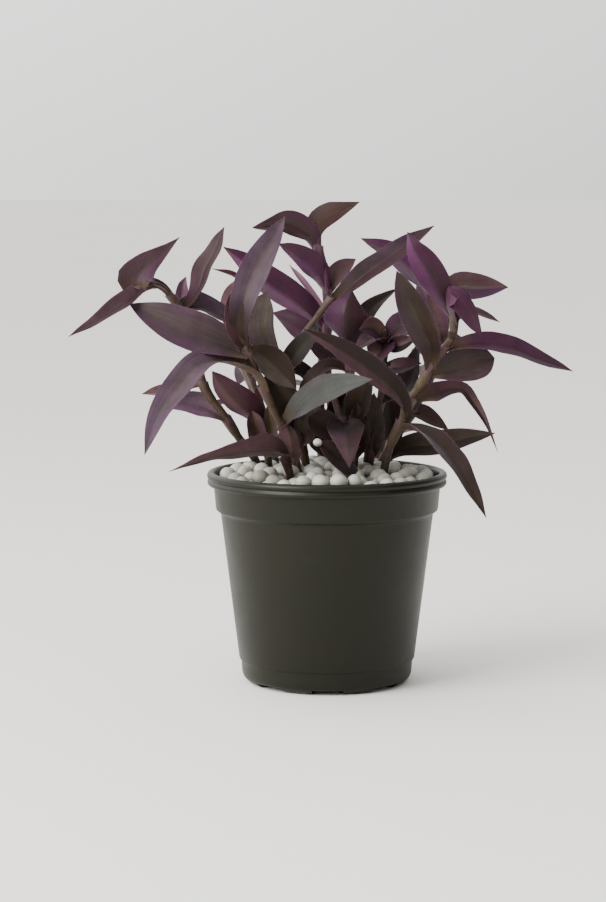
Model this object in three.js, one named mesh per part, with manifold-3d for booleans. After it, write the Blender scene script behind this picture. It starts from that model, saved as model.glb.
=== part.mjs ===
// A tradescantia in a round nursery pot, topped with pebbles.
// Millimetres, +Z up. The origin is the centre of the pot's foot; the front of the plant looks along -Y.
import * as THREE from 'three';
import * as BufferGeometryUtils from 'three/addons/utils/BufferGeometryUtils.js';
import Module from 'manifold-3d';

const wasm = await Module();
wasm.setup();

// ---------------------------------------------------------------- driving dimensions

const POT_SIDES = 32;
const RIM_R = 75;
const RIM_TOP = 132.5;
const COLLAR_R = 70.8;
const COLLAR_BOTTOM = 108.8;
const BODY_TOP_R = 66.5;
const BODY_FOOT_R = 55.1;
const BASE_R = 53.6;
const BASE_TOP = 14.8;
const FOOT_R = 46;
const FOOT_WIDTH = 6.5;
const WALL = 1.7;
const FLOOR_UNDERSIDE = 3.5;
const FLOOR_TOP = 5.2;
const NOTCHES = 8;
const NOTCH_WIDTH = 17.5;
const NOTCH_HEIGHT = 3;
const NOTCH_OVERRUN = 3; // how far a notch is cut past both faces of the foot
const DRAIN_R = 4;
const DRAIN_RING_R = 26;
const DRAIN_SIDES = 8;

const GAP = 0.35; // between pieces that rest on each other
const FILL_SIDES = POT_SIDES / 2; // of the soil and the pebble bed
const SOIL_TOP = 117;
const PEBBLE_R = 6.3;
const PEBBLE_PITCH = 14.2;
const PEBBLE_BED_TOP = 124;
const PEBBLE_SUNK = 1.8; // how deep a pebble head stands in the bed
const PEBBLE_HEAP = 6; // how much higher the middle of the heap is
const PEBBLE_HEAP_POWER = 4; // the larger, the flatter the heap is in its middle
const BED_SHOULDER = 0.7; // where the bed under the heads bends, as a share of its radius
const PEBBLE_SIDES = 5;
const PEBBLE_SHOULDER = 0.72; // the head's second ring, as a share of its radius
const PEBBLE_LEAST = 0.9; // the smallest pebble, as a share of PEBBLE_R
const PEBBLE_INSET = 0.3; // between the outer pebbles and the pot
const PEBBLE_SCATTER = 0.7;

const ROOT_Z = 96; // how deep the stems stand in the soil
const STEM_SIDES = 5;
const STEM_STEP = 18;
const STEM_FOOT_R = 2.9;
const STEM_TIP_R = 1.9;
const STEM_CLEARANCE = 0.45;

const BLADE_THICK = 0.8;
const BLADE_STEP = 12.5;
const BLADE_TURN = 22; // degrees a blade turns from station to station at most, on average
const BLADE_LEAST_STEPS = 4;
const BLADE_FOLD = 24; // degrees that each half rises from the keel
const BLADE_CLASP = 48; // the same at the foot, where the blade clasps the stem
const BLADE_FOOT = 0.4; // width at the foot, as a share of the widest
const BLADE_WIDEST = 0.42; // where it is widest, as a share of its length
const BLADE_TAPER = 2.2; // the larger, the blunter
const BLADE_TIP = 0.7; // half width of the blunt tip
const BLADE_UNDERSIDE = [2, 3]; // bands of the blade's ring, split into triangles as those above them are

// ---------------------------------------------------------------- the leafy stems
// Each stem has a path of its axis, from the pebbles up, and its leaves. A leaf has the route of its
// midrib from the stem to the tip, its full width, and the way that its upper face looks. Some also have
// a fold, a widest or a taper of their own, in place of the usual BLADE_FOLD, BLADE_WIDEST or BLADE_TAPER.

const STEMS = {
  stem_front_left: {
    path: [[-18, -12, 127], [-22, -14, 146], [-27, -17, 160], [-32, -20, 170], [-38, -25, 183],
      [-44, -29, 198], [-49, -32, 209]],
    leaves: [
      { route: [[-26, -18, 162], [-14, -36, 176], [-4, -50, 184], [10, -66, 191], [26, -78, 196]],
        width: 24, face: [-0.2, -0.8, 0.5] },
      { route: [[-39, -27, 184], [-44, -32, 194], [-53, -38, 200], [-66, -45, 204], [-77, -54, 202],
        [-88, -63, 190], [-100, -70, 174], [-109, -76, 151]],
        width: 22, face: [-0.4, -0.8, 0.4], widest: 0.5 },
      { route: [[-49, -32, 207], [-65, -36, 214], [-84, -36, 221], [-102, -32, 229], [-121, -26, 238]],
        width: 29, face: [0, -0.9, 0.5] },
      { route: [[-50, -32, 210], [-53, -37, 226], [-50, -38, 243], [-45, -34, 256], [-39, -28, 268],
        [-26, -14, 291]], width: 20, face: [-0.2, -1, 0], widest: 0.5 },
      { route: [[-50, -32, 210], [-56, -38, 225], [-58, -38, 246]],
        width: 14, face: [0.3, -0.9, 0], taper: 4 },
      { route: [[-48, -31, 211], [-41, -28, 207], [-32, -25, 199], [-19, -23, 186]],
        width: 21, face: [0.1, -0.9, 0.3] },
      { route: [[-20, -14, 138], [-22, -18, 150], [-25, -21, 164]],
        width: 15, face: [-0.3, -0.9, 0.1], fold: 30, taper: 6 },
    ],
  },
  stem_far_left: {
    path: [[-42, 30, 124], [-45, 24, 136], [-54, 11, 150], [-65, 2, 168], [-76, -2, 184],
      [-79, -3, 196], [-83, -4, 211], [-89, -6, 228], [-95, -9, 240], [-103, -12, 248],
      [-109, -16, 249], [-114, -19, 247]],
    leaves: [
      { route: [[-95, -9, 240], [-102, -12, 247], [-110, -16, 249], [-118, -24, 244], [-127, -34, 237],
        [-139, -44, 229], [-155, -58, 220]],
        width: 13, face: [-0.1, -0.8, 0.6], widest: 0.5, taper: 1.6 },
      { route: [[-115, -20, 245], [-117, -20, 252], [-112, -18, 260], [-104, -15, 267],
        [-98, -11, 272], [-91, -7, 278]], width: 26, face: [0.1, -0.9, 0.3], widest: 0.18, taper: 0.8 },
      { route: [[-89, -7, 233], [-83, -5, 239], [-79, -4, 248], [-76, -1, 258], [-71, 2, 267],
        [-64, 9, 284]], width: 15, face: [-0.6, -0.8, 0], widest: 0.5 },
      { route: [[-93, -6, 235], [-91, 3, 241], [-90, 8, 248], [-88, 11, 253]],
        width: 9, face: [0.2, -0.9, 0] },
      { route: [[-93, -8, 235], [-79, 1, 235], [-66, 8, 229], [-56, 12, 220]],
        width: 19, face: [0, -0.7, 0.7] },
      { route: [[-77, 0, 186], [-97, 0, 182], [-115, -6, 181]], width: 14, face: [0, -0.5, 0.8] },
      { route: [[-63, 3, 164], [-76, 2, 172], [-89, 0, 175], [-103, -4, 173]],
        width: 17, face: [0, -0.9, 0.4] },
    ],
  },
  stem_low_left: {
    path: [[-22, -26, 127], [-25, -28, 140], [-28, -30, 146]],
    leaves: [
      { route: [[-25, -28, 141], [-30, -34, 148], [-40, -43, 150], [-50, -52, 150], [-62, -62, 149],
        [-73, -71, 148], [-94, -84, 142]], width: 22, face: [0, -0.8, 0.7], widest: 0.22, taper: 0.85 },
    ],
  },
  stem_low_left_rear: {
    path: [[-36, 14, 127], [-37, 9, 141], [-39, 1, 154], [-41, -2, 163]],
    leaves: [
      { route: [[-41, -2, 158], [-47, -6, 168], [-56, -10, 176], [-64, -13, 185], [-71, -15, 196]],
        width: 23, face: [0.4, 0.9, 0.2], widest: 0.45 },
      { route: [[-38, -1, 148], [-43, -5, 154], [-45, -9, 163], [-47, -9, 171]],
        width: 15, face: [0.1, -1, 0.1], fold: 40, taper: 4 },
      { route: [[-37, -1, 144], [-35, -7, 154], [-37, -9, 175]], width: 10, face: [0, -1, 0] },
    ],
  },
  stem_diagonal: {
    path: [[-11, 4, 124], [-15, 2, 145], [-19, 0, 161], [-24, -3, 180], [-27, -7, 197],
      [-19, -10, 212], [-8, -12, 227], [3, -14, 241]],
    leaves: [
      { route: [[2, -14, 238], [14, -16, 248], [25, -15, 257], [34, -13, 263], [48, -9, 273],
        [66, -2, 285]], width: 16, face: [-0.3, -0.9, 0.4] },
      { route: [[-26, -6, 195], [-37, -10, 210], [-42, -14, 224], [-40, -15, 237], [-37, -15, 245]],
        width: 19, face: [0, -1, 0.1], widest: 0.6, taper: 3 },
      { route: [[-26, -6, 196], [-17, 4, 193], [-3, 12, 179]], width: 18, face: [0.3, -0.6, 0.7] },
      { route: [[-16, 3, 150], [-10, -8, 163], [-4, -13, 175]], width: 19, face: [-0.2, -0.9, 0.4] },
      { route: [[-19, 0, 158], [-24, -10, 174], [-30, -14, 185], [-39, -16, 196]],
        width: 20, face: [-0.2, -0.8, 0.5], widest: 0.5 },
      { route: [[-27, -6, 194], [-22, -12, 203], [-16, -14, 211], [-5, -15, 224]],
        width: 14, face: [-0.3, -0.9, 0.3], fold: 12, taper: 3 },
    ],
  },
  stem_top: {
    path: [[6, 18, 123], [5, 17, 150], [2, 14, 176], [0, 10, 207], [0, 8, 227], [0, 6, 245],
      [-2, 5, 259], [-5, 4, 269], [-6, 3, 279]],
    leaves: [
      { route: [[-6, 4, 269], [-9, 0, 277], [-15, -3, 282], [-24, -8, 286], [-34, -12, 285],
        [-46, -16, 284]], width: 18, face: [0.1, 0.9, 0.4] },
      { route: [[-6, 4, 270], [-8, 3, 279], [-5, 1, 287], [4, -2, 293], [20, -6, 300]],
        width: 16, face: [0, 0.9, 0.4] },
      { route: [[0, 6, 243], [-5, 3, 254], [-13, 0, 263], [-21, -3, 269], [-30, -6, 274]],
        width: 18, face: [0.2, 0.9, 0.4] },
      { route: [[1, 7, 242], [4, 10, 250], [9, 13, 257], [18, 16, 264]],
        width: 15, face: [-0.3, -0.9, 0.3] },
      { route: [[-1, 8, 220], [-12, 6, 231], [-25, 4, 241], [-39, 0, 251], [-52, -3, 263],
        [-64, -6, 272]], width: 23, face: [0.2, 0.9, 0.4] },
      { route: [[5, 17, 150], [8, 11, 168], [13, 5, 186]], width: 18, face: [-0.2, -0.9, 0.2] },
      { route: [[0, 11, 207], [-11, 15, 216], [-22, 18, 224], [-34, 22, 230]],
        width: 23, face: [0.2, 0.9, 0.4] },
    ],
  },
  stem_centre: {
    path: [[16, -4, 126], [16, -4, 152], [14, -6, 177], [14, -9, 196], [14, -12, 211]],
    leaves: [
      { route: [[15, -12, 208], [11, -24, 218], [10, -30, 231], [12, -28, 240], [15, -23, 246]],
        width: 35, face: [0.3, 0.9, 0.2], fold: 30, widest: 0.46, taper: 2.4 },
      { route: [[15, -10, 211], [26, -4, 232], [43, 2, 246]], width: 14, face: [-0.4, -0.8, 0.5] },
      { route: [[15, -4, 162], [21, -12, 178], [27, -20, 196]], width: 19, face: [-0.3, -0.9, 0.3] },
      { route: [[14, -7, 194], [2, -2, 202], [-13, 4, 213]], width: 14, face: [0.2, -0.8, 0.6] },
      { route: [[14, -9, 195], [-1, -14, 198], [-19, -20, 180]], width: 12, face: [0, -0.6, 0.8] },
      { route: [[16, -4, 141], [19, -10, 158], [18, -12, 177]],
        width: 17, face: [0.2, -1, 0.1], fold: 34 },
    ],
  },
  stem_right_front: {
    path: [[34, -18, 126], [38, -20, 148], [46, -24, 167], [50, -27, 179], [56, -29, 188],
      [62, -31, 199], [69, -33, 209], [76, -33, 219], [77, -31, 228]],
    leaves: [
      { route: [[46, -24, 162], [56, -40, 161], [65, -60, 156], [76, -80, 144], [92, -102, 117]],
        width: 19, face: [0.4, -0.7, 0.6] },
      { route: [[55, -27, 178], [65, -23, 182], [75, -20, 185], [83, -20, 185], [89, -23, 178],
        [97, -28, 165], [104, -32, 148]], width: 17, face: [0.1, -0.6, 0.8], widest: 0.14, taper: 0.8 },
      { route: [[62, -31, 199], [62, -38, 212], [56, -46, 226], [47, -52, 245], [41, -52, 259]],
        width: 20, face: [-0.2, -1, 0.1], widest: 0.5, taper: 2.6 },
      { route: [[45, -23, 160], [46, -31, 175], [39, -42, 187], [28, -54, 197], [7, -70, 213],
        [-15, -80, 226]], width: 18, face: [-0.3, -0.8, 0.5], widest: 0.5 },
      { route: [[64, -30, 195], [82, -31, 200], [102, -28, 205]],
        width: 27, face: [0, -0.9, 0.4], widest: 0.58, taper: 3 },
      { route: [[72, -33, 210], [81, -33, 213], [96, -30, 214], [112, -23, 211], [126, -13, 205],
        [154, 10, 194]], width: 16, face: [0.1, -0.8, 0.6], widest: 0.34 },
      { route: [[77, -31, 227], [72, -35, 239], [73, -37, 249], [81, -38, 247], [89, -37, 237],
        [94, -35, 219]], width: 34, face: [-0.5, 0, -0.8], fold: 54, widest: 0.45, taper: 3.4 },
      { route: [[78, -31, 227], [67, -38, 246], [57, -42, 263], [51, -42, 273], [48, -38, 282]],
        width: 21, face: [0.3, 0.9, 0.2], widest: 0.5 },
    ],
  },
  stem_right_rear: {
    path: [[33, 20, 128], [43, 24, 149], [59, 28, 174], [71, 28, 200], [75, 24, 225], [73, 20, 239]],
    leaves: [
      { route: [[38, 21, 136], [49, 13, 145], [71, 5, 149], [88, -1, 153], [104, -10, 157]],
        width: 18, face: [0, -0.9, 0.4] },
      { route: [[43, 24, 149], [39, 18, 166], [37, 10, 186]], width: 23, face: [0.2, -0.9, 0.3] },
      { route: [[51, 27, 165], [59, 25, 166], [67, 22, 162], [77, 18, 156]],
        width: 13, face: [0.2, -0.8, 0.5], widest: 0.3 },
      { route: [[74, 20, 236], [81, 13, 246], [92, 7, 246], [112, -2, 247]],
        width: 20, face: [0, -0.9, 0.3] },
      { route: [[75, 24, 228], [90, 26, 231], [109, 24, 224]], width: 9, face: [0, -0.5, 0.8] },
      { route: [[73, 19, 238], [59, 14, 251], [41, 12, 267], [21, 10, 277]],
        width: 18, face: [0.2, 0.9, 0.4] },
      { route: [[73, 24, 214], [67, 16, 227], [63, 12, 242]], width: 16, face: [0.2, -0.9, 0.2] },
    ],
  },
  stem_low_centre: {
    path: [[15, -16, 125], [13, -18, 144], [10, -20, 160], [6, -20, 174], [3, -19, 183]],
    leaves: [
      { route: [[11, -22, 164], [11, -36, 161], [12, -50, 153], [13, -57, 141]],
        width: 23, face: [0, -0.8, 0.5], fold: 14, widest: 0.32, taper: 1.5 },
      { route: [[13, -18, 142], [14, -30, 142], [10, -40, 143], [2, -45, 149], [-6, -46, 156]],
        width: 19, face: [-0.3, -0.9, 0.3], widest: 0.5, taper: 3 },
      { route: [[12, -19, 151], [2, -22, 160], [-12, -21, 168]],
        width: 20, face: [0.2, -0.9, 0.4], widest: 0.6, taper: 3 },
    ],
  },
  stem_rosette: {
    path: [[25, 4, 126], [28, 2, 152], [33, -3, 177], [35, -8, 199], [35, -16, 214], [35, -24, 222]],
    leaves: [
      { route: [[34, -18, 215], [26, -28, 216], [17, -36, 210]], width: 13, face: [-0.2, -0.6, 0.8] },
      { route: [[34, -20, 215], [27, -27, 223], [19, -38, 223]], width: 15, face: [-0.3, -0.8, 0.3] },
      { route: [[37, -20, 215], [45, -26, 225], [53, -36, 220]], width: 17, face: [0.3, -0.8, 0.3] },
      { route: [[37, -17, 215], [44, -24, 212], [54, -28, 217]], width: 14, face: [0.2, -0.8, 0.5] },
      { route: [[35, -16, 213], [32, -26, 210], [28, -34, 202]], width: 18, face: [0, -0.7, 0.7] },
      { route: [[35, -8, 197], [46, -14, 198], [58, -18, 201]], width: 14, face: [0, -0.7, 0.7] },
      { route: [[32, -2, 174], [48, 5, 183], [58, 8, 212]], width: 17, face: [-0.6, -0.8, 0] },
      { route: [[28, 4, 142], [27, -2, 162], [29, -8, 182]], width: 20, face: [0, -1, 0.1], fold: 24 },
    ],
  },
  stem_rear_left: {
    path: [[-32, 36, 124], [-34, 38, 142], [-40, 44, 162], [-48, 54, 182], [-56, 62, 200],
      [-62, 66, 216]],
    leaves: [
      { route: [[-40, 44, 162], [-58, 50, 170], [-80, 50, 168]], width: 16, face: [-0.2, 0.2, 1] },
      { route: [[-44, 49, 172], [-36, 37, 184], [-25, 27, 188]], width: 13, face: [0.2, -0.2, 0.9] },
      { route: [[-48, 54, 182], [-50, 76, 188], [-58, 98, 178]], width: 20, face: [0, 0.3, 1] },
      { route: [[-56, 62, 200], [-70, 68, 212], [-92, 74, 214]], width: 18, face: [0.2, 0.4, 0.9] },
      { route: [[-62, 66, 216], [-60, 78, 236], [-52, 90, 252]], width: 17, face: [-0.4, -0.8, 0.4] },
      { route: [[-52, 58, 191], [-49, 50, 225], [-57, 46, 251], [-73, 44, 257]],
        width: 8, face: [0, 0.1, 1] },
    ],
  },
  stem_rear_centre: {
    path: [[-2, 46, 124], [-3, 50, 150], [-4, 56, 176], [-2, 62, 200], [2, 66, 220], [4, 68, 236]],
    leaves: [
      { route: [[-4, 56, 176], [-18, 76, 180], [-34, 96, 174]], width: 19, face: [-0.2, 0.4, 0.9] },
      { route: [[-4, 53, 164], [-11, 40, 174], [-16, 27, 172]], width: 14, face: [0, -0.3, 0.9] },
      { route: [[-2, 62, 200], [8, 82, 208], [20, 103, 204]], width: 19, face: [0.2, 0.3, 0.9] },
      { route: [[2, 66, 220], [-10, 74, 240], [-24, 82, 258]], width: 7, face: [0.5, -0.7, 0.5] },
      { route: [[4, 68, 236], [10, 84, 236], [18, 100, 228]], width: 16, face: [0, 0.3, 1] },
      { route: [[-2, 47, 138], [-9, 37, 154], [-15, 28, 164]], width: 18, face: [0.2, -0.9, 0.4] },
    ],
  },
  stem_rear_right: {
    path: [[32, 44, 124], [35, 47, 144], [42, 52, 164], [50, 56, 184], [58, 62, 202], [64, 66, 218]],
    leaves: [
      { route: [[35, 47, 144], [56, 58, 152], [84, 64, 147]], width: 14, face: [0.2, 0.1, 1] },
      { route: [[50, 56, 184], [56, 78, 190], [60, 102, 182]], width: 19, face: [0.1, 0.3, 1] },
      { route: [[45, 53, 172], [38, 44, 182], [24, 36, 188]], width: 13, face: [-0.2, -0.4, 0.9] },
      { route: [[58, 62, 202], [74, 70, 208], [96, 76, 204]], width: 18, face: [-0.2, 0.6, 0.8] },
      { route: [[64, 66, 218], [66, 80, 232], [60, 94, 246]], width: 16, face: [0.3, -0.8, 0.5] },
      { route: [[64, 66, 218], [78, 80, 226], [92, 98, 222]], width: 15, face: [0, 0.1, 1] },
    ],
  },
  stem_far_rear: {
    path: [[8, 58, 124], [8, 60, 140], [9, 68, 158], [11, 78, 172]],
    leaves: [
      { route: [[8, 60, 142], [-12, 74, 150], [-36, 86, 142]], width: 17, face: [-0.2, 0.3, 1] },
      { route: [[9, 68, 158], [30, 82, 164], [52, 94, 156]], width: 17, face: [0.2, 0.3, 1] },
      { route: [[11, 78, 172], [8, 92, 180], [2, 104, 170]], width: 17, face: [0, 0.5, 0.9] },
    ],
  },
};

// ---------------------------------------------------------------- solids

// A three.js geometry with its vertices merged, as a solid that can be joined and cut.
function toSolid(geometry) {
  const bare = geometry.clone();
  bare.deleteAttribute('normal');
  bare.deleteAttribute('uv');
  const merged = BufferGeometryUtils.mergeVertices(bare, 1e-4);
  const mesh = new wasm.Mesh({
    numProp: 3,
    vertProperties: new Float32Array(merged.attributes.position.array),
    triVerts: new Uint32Array(merged.index.array),
  });
  return new wasm.Manifold(mesh);
}

// The largest body of a solid, as a three.js geometry; loose scraps are dropped.
function toGeometry(solid) {
  const bodies = solid.decompose();
  const largest = bodies.reduce((a, b) => (b.volume() > a.volume() ? b : a));
  const mesh = largest.getMesh();
  const geometry = new THREE.BufferGeometry();
  geometry.setAttribute('position', new THREE.BufferAttribute(mesh.vertProperties, 3));
  geometry.setIndex(new THREE.BufferAttribute(mesh.triVerts, 1));
  geometry.computeVertexNormals();
  return geometry;
}

// A turned body from a profile of [radius, height] that starts and ends on the axis.
function turned(profile, sides = POT_SIDES) {
  const lathe = new THREE.LatheGeometry(profile.map(([r, z]) => new THREE.Vector2(r, z)), sides);
  lathe.rotateX(Math.PI / 2);
  return toSolid(lathe);
}

// Numbers from 0 to 1 that are the same on every run.
function seededRandom(seed) {
  let state = seed;
  return () => {
    state = (state * 1664525 + 1013904223) % 4294967296;
    return state / 4294967296;
  };
}

function material(color, roughness) {
  return new THREE.MeshStandardMaterial({ color, roughness, metalness: 0 });
}

// ---------------------------------------------------------------- pot

// The wall's inner face, from the rim's inner edge down to the floor, as [radius, height].
const INNER_WALL = [
  [RIM_R - 4.8, RIM_TOP - 1.9],
  [COLLAR_R - 1.6, RIM_TOP - 8.9],
  [COLLAR_R - 3.4, COLLAR_BOTTOM + 0.2],
  [BODY_TOP_R - WALL, COLLAR_BOTTOM - 2.4],
  [BODY_FOOT_R - WALL, BASE_TOP],
  [FOOT_R + 3, FLOOR_TOP],
];

function makePot() {
  const outside = [
    [0, FLOOR_UNDERSIDE],
    [FOOT_R - FOOT_WIDTH - 2, FLOOR_UNDERSIDE],
    [FOOT_R - FOOT_WIDTH, 0],
    [FOOT_R, 0],
    [BASE_R - 3.1, 2],
    [BASE_R - 0.4, 6],
    [BASE_R + 0.3, BASE_TOP - 1.2],
    [BODY_FOOT_R, BASE_TOP],
    [BODY_TOP_R, COLLAR_BOTTOM - 2.2],
    [COLLAR_R - 1.8, COLLAR_BOTTOM],
    [COLLAR_R, RIM_TOP - 8.9],
  ];
  const rolledRim = [
    [RIM_R - 1.4, RIM_TOP - 8.4],
    [RIM_R - 0.2, RIM_TOP - 6.6],
    [RIM_R - 0.6, RIM_TOP - 4.4],
    [RIM_R, RIM_TOP - 3],
    [RIM_R - 0.6, RIM_TOP - 0.7],
    [RIM_R - 2.4, RIM_TOP],
    [RIM_R - 4.1, RIM_TOP - 0.6],
  ];
  let pot = turned([...outside, ...rolledRim, ...INNER_WALL, [0, FLOOR_TOP]]);

  // Drainage notches through the foot, and drain holes in the raised floor.
  const notchStart = FOOT_R - FOOT_WIDTH - NOTCH_OVERRUN;
  const notchLength = BASE_R + NOTCH_OVERRUN - notchStart;
  for (let i = 0; i < NOTCHES; i += 1) {
    const angle = (i / NOTCHES) * 2 * Math.PI;
    const notch = new THREE.BoxGeometry(notchLength, NOTCH_WIDTH, 2 * NOTCH_HEIGHT);
    notch.translate(notchStart + notchLength / 2, 0, 0);
    notch.rotateZ(angle - Math.PI / 2);
    pot = pot.subtract(toSolid(notch));
    const drain = new THREE.CylinderGeometry(DRAIN_R, DRAIN_R, 4 * FLOOR_TOP, DRAIN_SIDES);
    drain.rotateX(Math.PI / 2);
    drain.translate(DRAIN_RING_R * Math.cos(angle), DRAIN_RING_R * Math.sin(angle), FLOOR_TOP);
    pot = pot.subtract(toSolid(drain));
  }
  return pot;
}

// ---------------------------------------------------------------- soil and pebbles

// The inner wall's radius at a height.
function innerRadius(z) {
  for (let i = 1; i < INNER_WALL.length; i += 1) {
    const [rHigh, zHigh] = INNER_WALL[i - 1];
    const [rLow, zLow] = INNER_WALL[i];
    if (z <= zHigh && z >= zLow) {
      return rLow + ((rHigh - rLow) * (z - zLow)) / (zHigh - zLow);
    }
  }
  return 0;
}

function makeSoil() {
  const buried = INNER_WALL.filter(([, z]) => z < SOIL_TOP).map(([r, z]) => [r - GAP, z + GAP]);
  return turned([
    [0, FLOOR_TOP + GAP],
    ...buried.reverse(),
    [innerRadius(SOIL_TOP) - GAP, SOIL_TOP],
    [0, SOIL_TOP],
  ], FILL_SIDES);
}

// A heaped bed with a faceted pebble head for each pebble of its top layer.
function makePebbles() {
  const bottom = SOIL_TOP + GAP;
  const bedEdge = innerRadius(PEBBLE_BED_TOP) - GAP;
  const bedShoulder = BED_SHOULDER * bedEdge;
  const heapAt = (radius) => PEBBLE_HEAP * (1 - (radius / bedEdge) ** PEBBLE_HEAP_POWER);
  const bed = turned([
    [0, bottom],
    [innerRadius(bottom) - GAP, bottom],
    [bedEdge, PEBBLE_BED_TOP],
    [bedShoulder, PEBBLE_BED_TOP + heapAt(bedShoulder)],
    [0, PEBBLE_BED_TOP + PEBBLE_HEAP],
  ], FILL_SIDES);
  const random = seededRandom(7);
  const edge = bedEdge - PEBBLE_R - PEBBLE_INSET;
  const pebbles = [bed];
  for (let ring = 0; ring * PEBBLE_PITCH <= edge; ring += 1) {
    const radius = edge - ring * PEBBLE_PITCH;
    const count = Math.max(1, Math.floor((2 * Math.PI * radius) / PEBBLE_PITCH));
    const turn = random();
    for (let i = 0; i < count; i += 1) {
      const shift = (PEBBLE_SCATTER * (random() - 0.5)) / PEBBLE_PITCH;
      const angle = ((i + turn + shift) / count) * 2 * Math.PI;
      const out = radius - PEBBLE_SCATTER * random();
      const size = PEBBLE_R * THREE.MathUtils.lerp(PEBBLE_LEAST, 1, random());
      const height = PEBBLE_BED_TOP + heapAt(out) + PEBBLE_SCATTER * random();
      const head = new THREE.LatheGeometry([
        new THREE.Vector2(0, -PEBBLE_SUNK),
        new THREE.Vector2(size, -PEBBLE_SUNK),
        new THREE.Vector2(PEBBLE_SHOULDER * size, PEBBLE_SHOULDER * size),
        new THREE.Vector2(0, size),
      ], PEBBLE_SIDES);
      head.rotateX(Math.PI / 2);
      head.rotateZ(random() * Math.PI);
      head.translate(out * Math.cos(angle), out * Math.sin(angle), height);
      pebbles.push(toSolid(head));
    }
  }
  return wasm.Manifold.union(pebbles);
}

// ---------------------------------------------------------------- stems and leaves

function smoothCurve(route) {
  return new THREE.CatmullRomCurve3(route.map((p) => new THREE.Vector3(...p)), false, 'centripetal');
}

// The tangent at each point of a chain.
function tangentsOf(points) {
  return points.map((_, i) => {
    const before = points[Math.max(0, i - 1)];
    const after = points[Math.min(points.length - 1, i + 1)];
    return after.clone().sub(before).normalize();
  });
}

// How many degrees a curve turns from its start to its end.
function turnOf(curve) {
  const tangents = tangentsOf(curve.getSpacedPoints(16));
  return tangents.slice(1).reduce((sum, t, i) => sum + THREE.MathUtils.radToDeg(t.angleTo(tangents[i])), 0);
}

function squareTo(vector, tangent) {
  return vector.clone().addScaledVector(tangent, -vector.dot(tangent)).normalize();
}

// Normals along a chain that start from the given one at its middle and turn as little as they can.
function carriedNormals(tangents, face) {
  const middle = Math.floor(tangents.length / 2);
  const normals = [];
  normals[middle] = squareTo(new THREE.Vector3(...face), tangents[middle]);
  for (let i = middle + 1; i < tangents.length; i += 1) {
    normals[i] = squareTo(normals[i - 1], tangents[i]);
  }
  for (let i = middle - 1; i >= 0; i -= 1) {
    normals[i] = squareTo(normals[i + 1], tangents[i]);
  }
  return normals;
}

// A closed body through rings of equally many points each, with both ends closed. The bands of the ring
// named in crossed are split along their other diagonal.
function skinned(rings, crossed = []) {
  const size = rings[0].length;
  const positions = rings.flat().flatMap((p) => [p.x, p.y, p.z]);
  const index = [];
  for (let i = 0; i + 1 < rings.length; i += 1) {
    for (let j = 0; j < size; j += 1) {
      const next = (j + 1) % size;
      const a = i * size + j;
      const b = i * size + next;
      if (crossed.includes(j)) {
        index.push(a, b, b + size, a, b + size, a + size);
      } else {
        index.push(a, b, a + size, b, b + size, a + size);
      }
    }
  }
  const last = (rings.length - 1) * size;
  for (let j = 1; j + 1 < size; j += 1) {
    index.push(0, j + 1, j);
    index.push(last, last + j, last + j + 1);
  }
  const geometry = new THREE.BufferGeometry();
  geometry.setAttribute('position', new THREE.Float32BufferAttribute(positions, 3));
  geometry.setIndex(index);
  return toSolid(geometry);
}

// A round rod along a path, thinner towards its end. extra widens it all along.
function makeRod(path, extra = 0) {
  const [x, y] = path[0];
  const curve = smoothCurve([[x, y, ROOT_Z - extra], [x, y, (ROOT_Z + path[0][2]) / 2], ...path]);
  const count = Math.round(curve.getLength() / STEM_STEP);
  const points = curve.getSpacedPoints(count);
  const tangents = tangentsOf(points);
  const normals = carriedNormals(tangents, [0.1, -1, 0.1]);
  const rings = points.map((point, i) => {
    const radius = THREE.MathUtils.lerp(STEM_FOOT_R, STEM_TIP_R, i / count) + extra;
    const side = tangents[i].clone().cross(normals[i]);
    const ring = [];
    for (let j = 0; j < STEM_SIDES; j += 1) {
      const angle = (j / STEM_SIDES) * 2 * Math.PI;
      ring.push(point.clone()
        .addScaledVector(normals[i], radius * Math.cos(angle))
        .addScaledVector(side, radius * Math.sin(angle)));
    }
    return ring;
  });
  return skinned(rings);
}

// The blade's half width at a share of its length, as a share of the widest.
function bladeOutline(share, widest, taper) {
  if (share < widest) {
    return BLADE_FOOT + (1 - BLADE_FOOT) * Math.sin((share / widest) * (Math.PI / 2));
  }
  const past = (share - widest) / (1 - widest);
  return 1 - past ** taper;
}

// A keeled blade: a folded strip of one thickness along its midrib.
function makeBlade(leaf) {
  const { route, width, face } = leaf;
  const { fold = BLADE_FOLD, widest = BLADE_WIDEST, taper = BLADE_TAPER } = leaf;
  const curve = smoothCurve(route);
  const count = Math.max(
    BLADE_LEAST_STEPS,
    Math.round(curve.getLength() / BLADE_STEP),
    Math.ceil(turnOf(curve) / BLADE_TURN),
  );
  const points = curve.getSpacedPoints(count);
  const tangents = tangentsOf(points);
  const normals = carriedNormals(tangents, face);
  const rings = points.map((point, i) => {
    const share = i / count;
    const half = Math.max(BLADE_TIP, (width / 2) * bladeOutline(share, widest, taper));
    const angle = THREE.MathUtils.degToRad(
      THREE.MathUtils.lerp(BLADE_CLASP, fold, Math.min(1, share / widest)),
    );
    const up = normals[i];
    const side = tangents[i].clone().cross(up);
    const at = (across, lift) => point.clone().addScaledVector(side, across).addScaledVector(up, lift);
    const spread = half * Math.cos(angle);
    const rise = half * Math.sin(angle);
    const outX = (BLADE_THICK / 2) * Math.sin(angle);
    const outZ = (BLADE_THICK / 2) * Math.cos(angle);
    const keel = Math.min(BLADE_THICK, BLADE_THICK / 2 / Math.cos(angle));
    return [
      at(0, keel),
      at(spread - outX, rise + outZ),
      at(spread + outX, rise - outZ),
      at(0, -keel),
      at(-spread - outX, rise - outZ),
      at(-spread + outX, rise + outZ),
    ];
  });
  return skinned(rings, BLADE_UNDERSIDE);
}

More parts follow.
